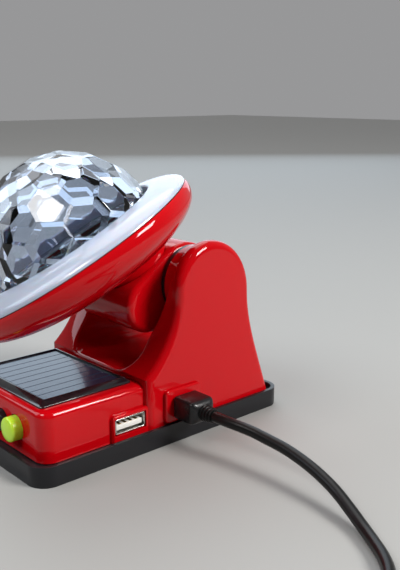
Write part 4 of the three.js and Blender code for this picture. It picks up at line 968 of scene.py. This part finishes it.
# %% Bevelled frame and solar strips
BEZEL_FOOT = DECK + 0.1
BEZEL_TOP = DECK + FIT + 1.8
BEZEL_MIDDLE = (0, sum(BEZEL_SPAN) / 2)
BEZEL_HALF_Y = (BEZEL_SPAN[1] - BEZEL_SPAN[0]) / 2
POCKET_INSET = 2.8
BEZEL_STEPS = [
    (BEZEL_FOOT, 0, 1.5), (BEZEL_FOOT + 0.45, 0, 1.5),
    (BEZEL_FOOT + 0.65, 0.15, 1.4), (BEZEL_TOP - 0.08, 2.1, 0.7),
    (BEZEL_TOP, 2.35, 0.6), (BEZEL_TOP, 2.65, 0.5),
    (BEZEL_TOP - 0.15, POCKET_INSET, 0.4), (BEZEL_FOOT, POCKET_INSET, 0.4),
]
PANEL_TOP = BEZEL_TOP - 0.6
PLATE_SPAN = (DECK + 0.2, PANEL_TOP - 0.12)
PLATE_CORNER = 0.4
STRIP_COUNT = 9
STRIP_MARGIN = 0.8
STRIP_GAP = 0.42
STRIP_DEPTH = 0.2

bezel = bridged(BEZEL_STEPS, BEZEL_MIDDLE, (BEZEL_HALF, BEZEL_HALF_Y), along_z, ring=True)
add_piece("panel_frame", bezel, "black_gloss", "base", "solar_bezel")

half_x = BEZEL_HALF - POCKET_INSET
half_y = BEZEL_HALF_Y - POCKET_INSET
middle_y = BEZEL_MIDDLE[1]
plate = slab(about(0, half_x), about(middle_y, half_y), PLATE_SPAN, PLATE_CORNER, steps=3)
pitch = 2 * (half_x - STRIP_MARGIN) / STRIP_COUNT
strips = [
    slab(
        about(x, (pitch - STRIP_GAP) / 2), about(middle_y, half_y - STRIP_MARGIN),
        (PANEL_TOP - STRIP_DEPTH, PANEL_TOP),
    )
    for x in row(STRIP_COUNT, pitch)
]
add_piece("panel_strips", gather(plate, *strips), "solar_cells", "base", "solar_panel")

# %% [markdown]
# ## Sockets and plugs
# The USB socket is a folded steel shell round a white tongue with four gilt contacts. The
# charging plug is a moulded block that narrows to the lead through a ribbed strain relief. Both
# are bridged from rounded sections along the X axis, because real moulds part that way.

# %% USB output socket
USB_FACE = USB_BOSS_FACE - FIT
USB_BACK = USB_FACE - 14
USB_SHELL_WALL = 0.5
USB_STEPS = [
    (USB_BACK, 0, 0.8), (USB_FACE - 0.08, 0, 0.8),
    (USB_FACE, 0.12, 0.7), (USB_FACE, USB_SHELL_WALL - 0.12, 0.45),
    (USB_FACE - 0.12, USB_SHELL_WALL, 0.4), (USB_BACK + USB_SHELL_WALL, USB_SHELL_WALL, 0.4),
]
TONGUE_FOOT = USB_FOOT + USB_SHELL_WALL + 0.8
TONGUE_TOP = TONGUE_FOOT + 1.9
TONGUE_SIDE_GAP = 0.9
TONGUE_BACK = USB_BACK + USB_SHELL_WALL
TONGUE_FRONT = TONGUE_BACK + 12.8
TONGUE_EDGE = 0.25
CONTACT_COUNT = 4
CONTACT_PITCH = 2.4
CONTACT_HALF = 0.55
CONTACT_SPAN = (TONGUE_BACK + 0.6, TONGUE_FRONT - 0.5)
CONTACT_LAYER = (TONGUE_TOP - 0.05, TONGUE_TOP + 0.12)
CONTACT_EDGE = 0.05

usb_shell = bridged(USB_STEPS, USB_CENTRE, (USB_WIDTH / 2, USB_HEIGHT / 2), along_x)
add_piece("usb_shell", usb_shell, "steel", "base", "usb_port_shell")
usb_tongue = slab(
    (TONGUE_BACK, TONGUE_FRONT), about(USB_CENTRE[0], USB_WIDTH / 2 - TONGUE_SIDE_GAP),
    (TONGUE_FOOT, TONGUE_TOP),
)
add_piece(
    "usb_tongue", soften(usb_tongue, TONGUE_EDGE), "white_plastic", "base", "usb_port_tongue",
)
contacts = [
    slab(CONTACT_SPAN, about(USB_CENTRE[0] + y, CONTACT_HALF), CONTACT_LAYER)
    for y in row(CONTACT_COUNT, CONTACT_PITCH)
]
contacts = gather(*[soften(contact, CONTACT_EDGE, steps=2) for contact in contacts])
add_piece("usb_contacts", contacts, "brass", "base")

# %% Charging plug: a block with a rounded end towards the lead
PLUG_FACE = CHARGE_BOSS_FACE + FIT
PLUG_END = PLUG_FACE + 11
PLUG_HALF = (5.5, 4.3)
PLUG_STEPS = [
    (PLUG_FACE, 0.7, 1.0), (PLUG_FACE + 0.2, 0.25, 1.2),
    (PLUG_FACE + 0.6, 0, 1.3), (PLUG_END - 2.4, 0, 1.3),
    (PLUG_END - 1.5, 0.25, 1.4), (PLUG_END - 0.8, 0.75, 1.5),
    (PLUG_END - 0.3, 1.45, 1.6), (PLUG_END, 2.1, 1.7),
]
RELIEF_RIBS = 3
RELIEF_LENGTH = 4.6
RELIEF_RADII = (3.1, 2.6)
RELIEF_WALL = 0.12
RIB_EDGE = 0.12
RIB_EDGE_LENGTH = 0.15
GROOVE_SPAN = (1.08, 1.92)

plug = bridged(PLUG_STEPS, CHARGE_CENTRE, PLUG_HALF, along_x)
add_piece("plug_moulding", plug, "black_plug", "base", "charge_plug")


def make_relief(length, radius, end_radius):
    """Rounded ribs that narrow towards the lead, turned about +Z."""
    core = LEAD_DIAMETER / 2 + RELIEF_WALL
    pitch = length / (2 * RELIEF_RIBS + 1)
    profile = [(0, 0)]
    for index in range(RELIEF_RIBS + 1):
        rim = radius + (end_radius - radius) * index / RELIEF_RIBS
        low = 2 * index * pitch
        high = low + pitch
        profile += [(rim - RIB_EDGE, low), (rim, low + RIB_EDGE_LENGTH)]
        profile += [(rim, high - RIB_EDGE_LENGTH), (rim - RIB_EDGE, high)]
        if index < RELIEF_RIBS:
            groove = (rim + core) / 2
            profile += [(groove, low + share * pitch) for share in GROOVE_SPAN]
    return turned([*profile, (0, length)], 48)


add_piece(
    "plug_relief", make_relief(RELIEF_LENGTH, *RELIEF_RADII), "black_rubber", "base",
    "strain_relief", at(PLUG_END + FIT / 2, *CHARGE_CENTRE) @ TO_RIGHT, sharp=FINE_SHARP,
)

# %% [markdown]
# The lead's far end carries a USB plug of the same make. It lies on the ground beside the coil,
# which two flat straps hold together.

# %% Far plug and coil straps
FAR_RELIEF_LENGTH = 8
FAR_CENTRE = (tail_end.x, tail_end.z)
FAR_START = tail_end.y + 2 * FIT + FAR_RELIEF_LENGTH
FAR_END = FAR_START + 22
FAR_HALF = (7.8, 4.0)
FAR_STEPS = [
    (FAR_START, (3.6, 1.5), 1.6), (FAR_START + 1.2, (1.8, 0.6), 1.8),
    (FAR_START + 3.6, (0.5, 0.1), 1.6), (FAR_START + 6.5, 0, 1.4),
    (FAR_END - 0.5, 0, 1.4), (FAR_END, 0.5, 1.2),
]
SHELL_START = FAR_END + FIT
SHELL_END = SHELL_START + 18.7
SHELL_HALF = (6.0, 2.25)
SHELL_STEPS = [
    (SHELL_START, 0, 0.5), (SHELL_END - 0.1, 0, 0.5),
    (SHELL_END, 0.1, 0.4), (SHELL_END, 0.3, 0.3),
    (SHELL_START + 9, 0.3, 0.3),
]
LATCH_OFFSET = 2.85
LATCH_HALF = 1.2
LATCH_SPAN = (SHELL_END - 8.5, SHELL_END - 6.2)
LATCH_TOP = 9
STRAP_THICKNESS = 0.5
STRAP_HALF = 2
STRAP_STEPS = [
    (-STRAP_HALF, 0, 1.5), (-STRAP_HALF, -STRAP_THICKNESS, 2.0),
    (STRAP_HALF, -STRAP_THICKNESS, 2.0), (STRAP_HALF, 0, 1.5),
]
STRAP_TURNS = (90, 270)

far_plug = bridged(FAR_STEPS, FAR_CENTRE, FAR_HALF, along_y)
add_piece("far_plug_grip", far_plug, "black_plug", "base", "usb_plug_body")
latch_holes = [
    slab(about(FAR_CENTRE[0] + x, LATCH_HALF), LATCH_SPAN, (FAR_CENTRE[1], LATCH_TOP))
    for x in (-LATCH_OFFSET, LATCH_OFFSET)
]
far_shell = cut(bridged(SHELL_STEPS, FAR_CENTRE, SHELL_HALF, along_y), *latch_holes)
add_piece("far_plug_shell", far_shell, "steel", "base", "usb_plug_shell")
far_relief = make_relief(FAR_RELIEF_LENGTH, *reversed(RELIEF_RADII))
add_piece(
    "far_plug_relief", far_relief, "black_rubber", "base", "usb_plug_relief",
    at(tail_end.x, tail_end.y + FIT, tail_end.z) @ TO_BACK, sharp=FINE_SHARP,
)

around_lead = LEAD_DIAMETER / 2 + FIT
strap_centre = ((coil_inner + coil_outer) / 2, coil_centre.z + COIL_PITCH / 2)
strap_half = ((coil_outer - coil_inner) / 2 + around_lead, COIL_PITCH / 2 + around_lead)
for index, turn in enumerate(STRAP_TURNS, 1):
    add_piece(
        f"coil_strap_{index}", bridged(STRAP_STEPS, strap_centre, strap_half, along_y, ring=True),
        "pad_rubber", "base", f"coil_tie_{index}",
        at(coil_centre.x, coil_centre.y) @ spin(turn, "Z"),
    )

# %% [markdown]
# ## Push buttons
# Both buttons are turned caps with a flange behind the wall and a stem that enters the switch.
# The power button is lime, softly domed and stands well out; the mode button is black and lower.

# %% Buttons
STEM_RADIUS = 1.4
STEM_END = -6.1
FLANGE_BACK = -WALL - FIT - 1
FLANGE_FRONT = -WALL - FIT
FLANGE_MARGIN = 0.55
# Each button: place and radius, then how far it stands out, its dome's height and its edge.
BUTTONS = {
    "power": (POWER_BUTTON, (4.2, 0.45, 0.9), "lime_plastic", "lime_plastic"),
    "mode": (MODE_BUTTON, (2.6, 0.3, 0.6), "black_satin", "black_gloss"),
}


def make_button(radius, proud, dome, edge):
    """A cap that stands proud of the wall, with a round edge and a slightly domed top."""
    flange = radius + FLANGE_MARGIN
    profile = [(0, STEM_END), (STEM_RADIUS, STEM_END), (STEM_RADIUS, FLANGE_BACK)]
    profile += [(flange, FLANGE_BACK), (flange, FLANGE_FRONT), (radius, FLANGE_FRONT)]
    profile += arc((radius - edge, proud - dome - edge), edge, 0, 70, 8)
    profile += bezier(
        (radius - edge * 0.66, proud - dome - 0.06 * edge),
        (radius - 1.6 * edge, proud - dome * 0.35),
        (radius * 0.35, proud),
        (0, proud),
        10,
    )[1:]
    return turned(profile, 64)


for word, ((x, radius), form, finish, slot) in BUTTONS.items():
    add_piece(
        f"{word}_cap", make_button(radius, *form), finish, f"{word}_button", f"{word}_button",
        at(x, BOX_FRONT, BUTTON_HEIGHT) @ spin(90, "X"),
    )

# %% [markdown]
# ## The neck
# Between the arms a red barrel turns on two axles, with a lobe that reaches forward under the
# bowl. It is moulded in two halves, split across the swivel axis and screwed together, so a fine
# seam stays visible. The barrel is a belt outline round two circles, pushed sideways.

# %% Swivel and head frames
SWIVEL_RISE = 31.8
HEAD_LEAN = 35.2
SWIVEL_TURN = 32.2
HEAD_REACH = 45
HEAD_OFFSET = 11.2
SEAT_HEIGHT = 12.5
COLLAR_RADIUS = 14.4
COLLAR_FLARE = 4
COLLAR_FLARE_END = 30
SPIGOT_RADIUS = 6
CLIP_RADIUS = 8.9
CLIP_SPAN = (-7, 6)
SPIGOT_ROOM = (0, 70)

swivel_frame = at(*PIVOT) @ spin(90 - SWIVEL_RISE, "X")
head_frame = (
    swivel_frame @ spin(SWIVEL_TURN, "Z") @ at(0, -HEAD_OFFSET, HEAD_REACH) @ spin(-HEAD_LEAN, "X")
)
into_head = head_frame.inverted() @ swivel_frame
print("head centre in mm:", [round(value, 2) for value in head_frame.translation])

# %% Knuckle halves
KNUCKLE_HALF = 17.1
KNUCKLE_RADIUS = 14.3
KNUCKLE_ROUND = 2.4
KNUCKLE_GRIP = 6
LOBE_RADIUS = 10.6
LOBE_OFFSET = (-17.6, -7.4)
SEAM = 0.16
NECK_SCREW_X = 13.2
NECK_SCREW_Y = -9.6
NECK_SCREW_END = 4.5
NECK_SCREW_ROOM = (-30, -7.3, 4.8)
AXLE_ROOM_END = 30
neck_screws = [swivel_frame @ at(x, NECK_SCREW_Y) for x in (-NECK_SCREW_X, NECK_SCREW_X)]


def belt_outline():
    """A big circle and a small one with straight sides between them, as (y, z) points."""
    heading = degrees(atan2(LOBE_OFFSET[1], LOBE_OFFSET[0]))
    spread = degrees(acos((KNUCKLE_RADIUS - LOBE_RADIUS) / hypot(*LOBE_OFFSET)))
    big = arc((0, 0), KNUCKLE_RADIUS, heading + spread, heading - spread + 360, 40)
    small = arc(LOBE_OFFSET, LOBE_RADIUS, heading - spread, heading + spread, 24)
    return [(PIVOT.y + a, PIVOT.z + b) for a, b in big + small]


def neck_cone(grow=0):
    """The flared neck under the bowl, with its seat on the knuckle, in the swivel's own frame."""
    near, far = COLLAR_RADIUS + grow, COLLAR_RADIUS + COLLAR_FLARE + grow
    seat = SEAT_HEIGHT + FIT - grow
    flare = bezier(
        (near, seat + 0.4), (near + 0.2, seat + 7), (far - 1.5, seat + 12), (far, COLLAR_FLARE_END),
        10,
    )
    return turned([(0, seat), (near - 0.4, seat), *flare, (far, HEAD_REACH), (0, HEAD_REACH)], 96)


def make_knuckle(other_half):
    """The barrel without its other half, the neck's seat and the rooms for clip and axles."""
    barrel = prism(belt_outline(), about(0, KNUCKLE_HALF), along_x)
    round_ends(barrel, KNUCKLE_HALF, KNUCKLE_ROUND, steps=6)
    tools = [
        neck_cone(FIT), rod(SPIGOT_RADIUS + FIT, SPIGOT_ROOM, 64),
        rod(CLIP_RADIUS, CLIP_SPAN, 64), block_between(*other_half),
    ]
    tools = [moved(tool, swivel_frame) for tool in tools]
    tools += axle_rooms(KNUCKLE_HALF - KNUCKLE_GRIP - FIT, AXLE_ROOM_END)
    tools += [moved(screw_room(*NECK_SCREW_ROOM), place) for place in neck_screws]
    return cut(barrel, *tools)


OTHER_HALVES = {"front": (RIGHT_ACROSS[0], SEAM), "rear": (-SEAM, RIGHT_ACROSS[1])}
for word, other_half in OTHER_HALVES.items():
    add_piece(f"neck_{word}", make_knuckle(other_half), "red_gloss", "knuckle", f"knuckle_{word}")

# %% Friction washers, and the screws of the neck
WASHER_RADIUS = 13.6
WASHER_SPAN = (BOSS_FACE - FIT - 1.6, BOSS_FACE - FIT)
WASHER_EDGE = 0.2
NECK_SCREW_SINK = 2

for word, (low, high) in zip(("right", "left"), reversed(mirrored(*WASHER_SPAN))):
    disc = pivot_bar(WASHER_RADIUS, (low, high), 96)
    washer = cut(disc, pivot_bar(AXLE_RADIUS + FIT, (low - 1, high + 1)))
    add_piece(
        f"washer_{word}", soften(washer, WASHER_EDGE, steps=2, least=60), "black_satin", "base",
        f"pivot_washer_{word}",
    )

neck_seat = NECK_SCREW_SINK - sqrt(KNUCKLE_RADIUS**2 - NECK_SCREW_Y**2)
add_screws(
    "neck_screw", "knuckle", "knuckle_screw", NECK_SCREW_END - neck_seat,
    [place @ at(0, 0, neck_seat) for place in neck_screws],
)

# %% [markdown]
# ## The head
# The bowl is a shallow turned shell in red gloss with a collar that flares towards it from the
# neck, on which it stands slantwise. The white ring is a turned arch of translucent plastic over
# sixteen small lights. A reflector dish closes the bowl under the dome. Turning a smooth profile
# gives all of them their round.

# %% Bowl with its collar
HEAD_RADIUS = 46
BOWL_WALL = 2
BOWL_DEPTH = 15
BOWL_PROFILE = [
    (46.0, 0), (46.4, -1.5), (46.1, -4.0), (44.8, -6.5), (42.0, -8.9), (38.5, -10.7),
    (35.0, -12.0), (31.0, -13.0), (26.0, -14.0), (21.0, -14.6), (16.0, -15.0),
]
BOWL_RIM_INSIDE = 44
BOWL_INSIDE = 41.4
BOWL_LEDGE = -2
BOWL_CURVE_TOP = -8
SPIGOT_SPAN = (4, SEAT_HEIGHT + 2)
PAST_RIM = 1


def smooth_profile(points):
    smoothed = smooth_through([Vector((radius, height, 0)) for radius, height in points])
    return [(point.x, point.y) for point in smoothed]


outer = smooth_profile(BOWL_PROFILE)
inner = [(BOWL_RIM_INSIDE, PAST_RIM), (BOWL_RIM_INSIDE, BOWL_LEDGE)]
inner += [(BOWL_INSIDE, BOWL_LEDGE), (BOWL_INSIDE, 2 * BOWL_LEDGE)]
inner += [
    (radius - BOWL_WALL, height + BOWL_WALL)
    for radius, height in outer
    if height < BOWL_CURVE_TOP and radius - BOWL_WALL < BOWL_INSIDE
]
neck = join(neck_cone(), rod(SPIGOT_RADIUS, SPIGOT_SPAN))
neck = cut(moved(neck, into_head), block_between(-BOWL_DEPTH / 2, ABOVE_ALL))
bowl = join(turned([(0, 0), *outer, (0, -BOWL_DEPTH)], 128), neck)
bowl = cut(bowl, turned([(0, PAST_RIM), *inner, (0, BOWL_WALL - BOWL_DEPTH)]))
add_piece("red_bowl", bowl, "red_gloss", "head", "bowl_shell", head_frame)

# %% White light ring
RING_WALL = 1.6
RING_INNER = 33.4
RING_BORE = RING_INNER + RING_WALL
RING_FOOT = 0.3
RING_SKIRT = (-1.4, 2.9)
RING_SHOULDER = 40
RING_PROFILE = [
    (46.0, 0.3), (45.75, 1.1), (44.7, 2.1), (42.6, 3.15), (39.8, 4.1), (36.8, 4.7),
    (34.9, 4.85), (33.9, 4.7), (33.4, 4.2),
]

outer = smooth_profile(RING_PROFILE)
inner = [
    (r - RING_WALL if r > RING_SHOULDER else max(r, RING_BORE), h - RING_WALL)
    for r, h in outer
    if h > RING_FOOT + RING_WALL
]
inner = [(HEAD_RADIUS - RING_WALL, RING_FOOT), *[p for p in inner if p[0] > RING_BORE]]
skirt_foot, skirt_top = RING_SKIRT
skirt = [(RING_INNER, skirt_foot), (RING_BORE, skirt_foot), (RING_BORE, skirt_top)]
ring = turned([*outer, *skirt, *reversed(inner)], 128, closed=True)
add_piece("light_ring", ring, "white_diffuser", "head", "diffuser_ring", head_frame)

# %% Reflector dish and its screws
DISH_PROFILE = [
    (2.1, -5.0), (16.7, -5.0), (17.2, -4.8), (20.1, -2.9), (20.8, -2.7), (34.6, -2.7),
    (35.2, -3.0), (35.2, -3.9), (20.6, -3.9), (17.0, -6.2), (2.1, -6.2),
]
DISH_SCREW_CIRCLE = 27
DISH_SCREW_TOP = -1.4
DISH_SCREW_LENGTH = 5.5
DISH_HOLE = (-9, 0)

dish_screws = around(3, DISH_SCREW_CIRCLE, -90)
dish_holes = [moved(rod(SCREW_HOLE_RADIUS, DISH_HOLE, 32), at(x, y)) for x, y in dish_screws]
dish = cut(turned(DISH_PROFILE, closed=True), *dish_holes)
add_piece("dish", dish, "black_gloss", "head", "reflector_dish", head_frame)
add_screws(
    "dish_screw", "head", "head_screw", DISH_SCREW_LENGTH,
    [head_frame @ at(x, y, DISH_SCREW_TOP) @ spin(180, "X") for x, y in dish_screws],
)

# %% Lamps: a clear lens on a small rim
LENS_RADIUS = 2.6
LENS_RIM = 0.8
LENS_RISE = LENS_RADIUS / 2
LENS_FOOT = -3.4
LENS_CIRCLE = 8.6

lens_cap = arc((0, LENS_RIM), LENS_RADIUS, 0, 81, 9, rise=LENS_RISE)
lens_profile = [(0, 0), (LENS_RADIUS, 0), *lens_cap, (0, LENS_RIM + LENS_RISE)]
for name, (x, y) in zip(LAMP_COLOURS, around(4, LENS_CIRCLE, 45)):
    add_piece(
        f"lens_{name}", turned(lens_profile, 48), name, "head", name,
        head_frame @ at(x, y, LENS_FOOT),
    )

# %% [markdown]
# ## The crystal dome
# The dome is a clear shell whose outside is cut in hexagons: tiers of planes round a sphere, each
# tier turned half a step against the next. The inside is cut by the same planes nearer the
# middle, so each facet is a thick flat plate, and its slanting borders bend what lies behind.
# Slicing a block by plane after plane is the surest way to such flat facets.

# %% Faceted dome
DOME_RADIUS = 31
DOME_WALL = 7
DOME_CENTRE = Vector((0, 0, 3.5))
DOME_FOOT = 0.9
DOME_ROOM_FOOT = DOME_FOOT - 2
DOME_TURN = -60.3
DOME_SHARP = 4.5
FACET_EDGE = 0.16
SAME_PLACE = 1e-5
TIERS = [
    (0, 1, 0), (19, 7, 0.25), (38, 13, 0), (57, 13, 0.5), (77, 13, 0), (97, 13, 0.5),
]
dome_frame = head_frame @ spin(DOME_TURN, "Z")


def faceted(radius, foot):
    """A block sliced by tiers of planes. A tier has an angle from the top, a count and a turn."""
    bm = block_between(foot, RIGHT_ACROSS[1])
    for colatitude, count, phase in TIERS:
        polar = radians(colatitude)
        for index in range(count):
            turn = 2 * pi * (index + phase) / count
            flat = sin(polar)
            normal = Vector((flat * cos(turn), flat * sin(turn), cos(polar)))
            split = bmesh.ops.bisect_plane(
                bm, geom=[*bm.verts, *bm.edges, *bm.faces], dist=SAME_PLACE,
                plane_co=normal * radius + DOME_CENTRE, plane_no=normal, clear_outer=True,
            )
            rim = [item for item in split["geom_cut"] if isinstance(item, bmesh.types.BMEdge)]
            if rim:
                bmesh.ops.contextual_create(bm, geom=rim)
    bmesh.ops.recalc_face_normals(bm, faces=bm.faces)
    return bm


dome = faceted(DOME_RADIUS, DOME_FOOT)
bevel(dome, list(dome.edges), FACET_EDGE, steps=2)
dome = cut(dome, faceted(DOME_RADIUS - DOME_WALL, DOME_ROOM_FOOT))
add_piece(
    "cut_dome", dome, "crystal", "dome", "crystal_dome", dome_frame,
    sharp=DOME_SHARP,
)

# %% [markdown]
# The motor turns the dome through a clear wheel: a flat rim under the dome, three spokes that
# hardly catch the eye, and a hub on the shaft.

# %% The dome's carrier
WHEEL_RIM_PROFILE = [(27.5, -0.6), (31.5, -0.6), (31.5, 0.6), (27.5, 0.6)]
WHEEL_HUB_PROFILE = [(1.8, -0.6), (4, -0.6), (4, 2.9), (3.6, 3.2), (1.8, 3.2)]
WHEEL_EDGE = 0.15
SPOKE_SPAN = (3.6, 27.8)
SPOKE_HALF = 1.6
SPOKE_HALF_DEPTH = 0.55
SPOKE_TURNS = (0, 120, 240)

wheel_rim = soften(turned(WHEEL_RIM_PROFILE, closed=True), WHEEL_EDGE, steps=2, least=60)
wheel_hub = turned(WHEEL_HUB_PROFILE, 48, closed=True)
spokes = [
    moved(slab(SPOKE_SPAN, about(0, SPOKE_HALF), about(0, SPOKE_HALF_DEPTH)), spin(turn, "Z"))
    for turn in SPOKE_TURNS
]
add_piece(
    "dome_wheel", join(wheel_rim, wheel_hub, *spokes), "clear_plastic", "dome", "dome_carrier",
    dome_frame,
)

# %% [markdown]
# ## Hidden pieces
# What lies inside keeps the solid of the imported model, and gets the finish that it would have on
# the real object, so that any pose or exploded view looks right.

# %% Finishes of the pieces inside
HIDDEN = {
    "steel": [
        "charge_plug_tip", "pivot_axle_right", "pivot_axle_left", "swivel_clip", "motor",
        "motor_screw_1", "motor_screw_2", "drive_shaft",
    ],
    "black_satin": ["charge_socket", "power_switch", "mode_switch"],
    "green_board": ["main_board", "switch_board"],
    "white_board": ["ring_led_board", "centre_led_board"],
    "cell_wrap": ["battery_cell"],
}
for finish, nodes in HIDDEN.items():
    for node in nodes:
        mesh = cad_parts[node].data
        mesh.materials.clear()
        mesh.materials.append(finishes[finish])
print("hidden pieces:", sum(len(nodes) for nodes in HIDDEN.values()))

# %% [markdown]
# ## Floor and light
# The photograph has a light ground and large windows behind the object to its left, which shine
# on the solar panel and on the white ring. Two broad, cool lamps stand in for them. A key lamp
# high at the right rear draws the crests of the red shells, a small lamp in front lights the
# buttons, and a wide soft sun is the light of the room. The room itself is a smooth ramp, pale
# on the window's side, so that the gloss has something to mirror.

# %% Floor
FLOOR_HALF = 3000

make_material("floor", (0.30, 0.30, 0.29), 0.7, spread=0.02)
floor_mesh = bpy.data.meshes.new("floor")
floor_build = bmesh.new()
bmesh.ops.create_grid(floor_build, x_segments=2, y_segments=2, size=FLOOR_HALF * MM)
floor_build.to_mesh(floor_mesh)
floor_build.free()
floor_mesh.materials.append(finishes["floor"])
floor = show("floor", floor_mesh)
print("floor, in metres each way:", FLOOR_HALF * MM)

# %% Lamps
MIDDLE = (0, 0, 30)
# Each lamp: place, what it is aimed at, size, power and colour.
LAMPS = {
    "window": ((-900, 700, 520), MIDDLE, (1300, 900), 5, (0.72, 0.86, 1.0)),
    "left_window": ((-700, -700, 750), MIDDLE, (700, 700), 5, (0.80, 0.90, 1.0)),
    "side_key": ((820, 380, 700), MIDDLE, (400, 400), 15, (1.0, 0.98, 0.96)),
    "front_fill": ((60, -700, 800), (0, -40, 20), (350, 350), 5, (1.0, 0.99, 0.97)),
}
SKY_STRENGTH = 1.1
SKY_SPREAD = radians(50)
SKY_TILT = (radians(-12), radians(-30), 0)

for name, (place, target, size, power, colour) in LAMPS.items():
    data = bpy.data.lights.new(name, "AREA")
    data.shape = "RECTANGLE"
    data.size = size[0] * MM
    data.size_y = size[1] * MM
    data.energy = power
    data.color = colour
    lamp = show(name, data)
    lamp.location = Vector(place) * MM
    lamp.visible_camera = False
    aim(lamp, Vector(target) - Vector(place))
sky_data = bpy.data.lights.new("skylight", "SUN")
sky_data.energy = SKY_STRENGTH
sky_data.angle = SKY_SPREAD
skylight = show("skylight", sky_data)
skylight.rotation_euler = SKY_TILT
print("lamps:", [*LAMPS, "skylight"])

# %% The room round it
WINDOW_SIDE = (-0.62, 0.76, 0.2)
ROOM_DIM = (0.08, 0.08, 0.085, 1.0)
ROOM_PALE = (0.31, 0.31, 0.315, 1.0)
ROOM_PALE_FROM = 0.6

world = bpy.data.worlds.new("studio")
world.use_nodes = True
nodes = world.node_tree.nodes
links = world.node_tree.links
place = nodes.new("ShaderNodeTexCoord")
facing = nodes.new("ShaderNodeVectorMath")
facing.operation = "DOT_PRODUCT"
facing.inputs[1].default_value = WINDOW_SIDE
links.new(place.outputs["Generated"], facing.inputs[0])
ramp = nodes.new("ShaderNodeValToRGB")
low, high = ramp.color_ramp.elements
low.color = ROOM_DIM
high.color = ROOM_PALE
high.position = ROOM_PALE_FROM
links.new(facing.outputs["Value"], ramp.inputs["Fac"])
links.new(ramp.outputs["Color"], nodes["Background"].inputs["Color"])
bpy.context.scene.world = world
bpy.context.scene.view_settings.view_transform = "Standard"
print("room pale towards", WINDOW_SIDE)
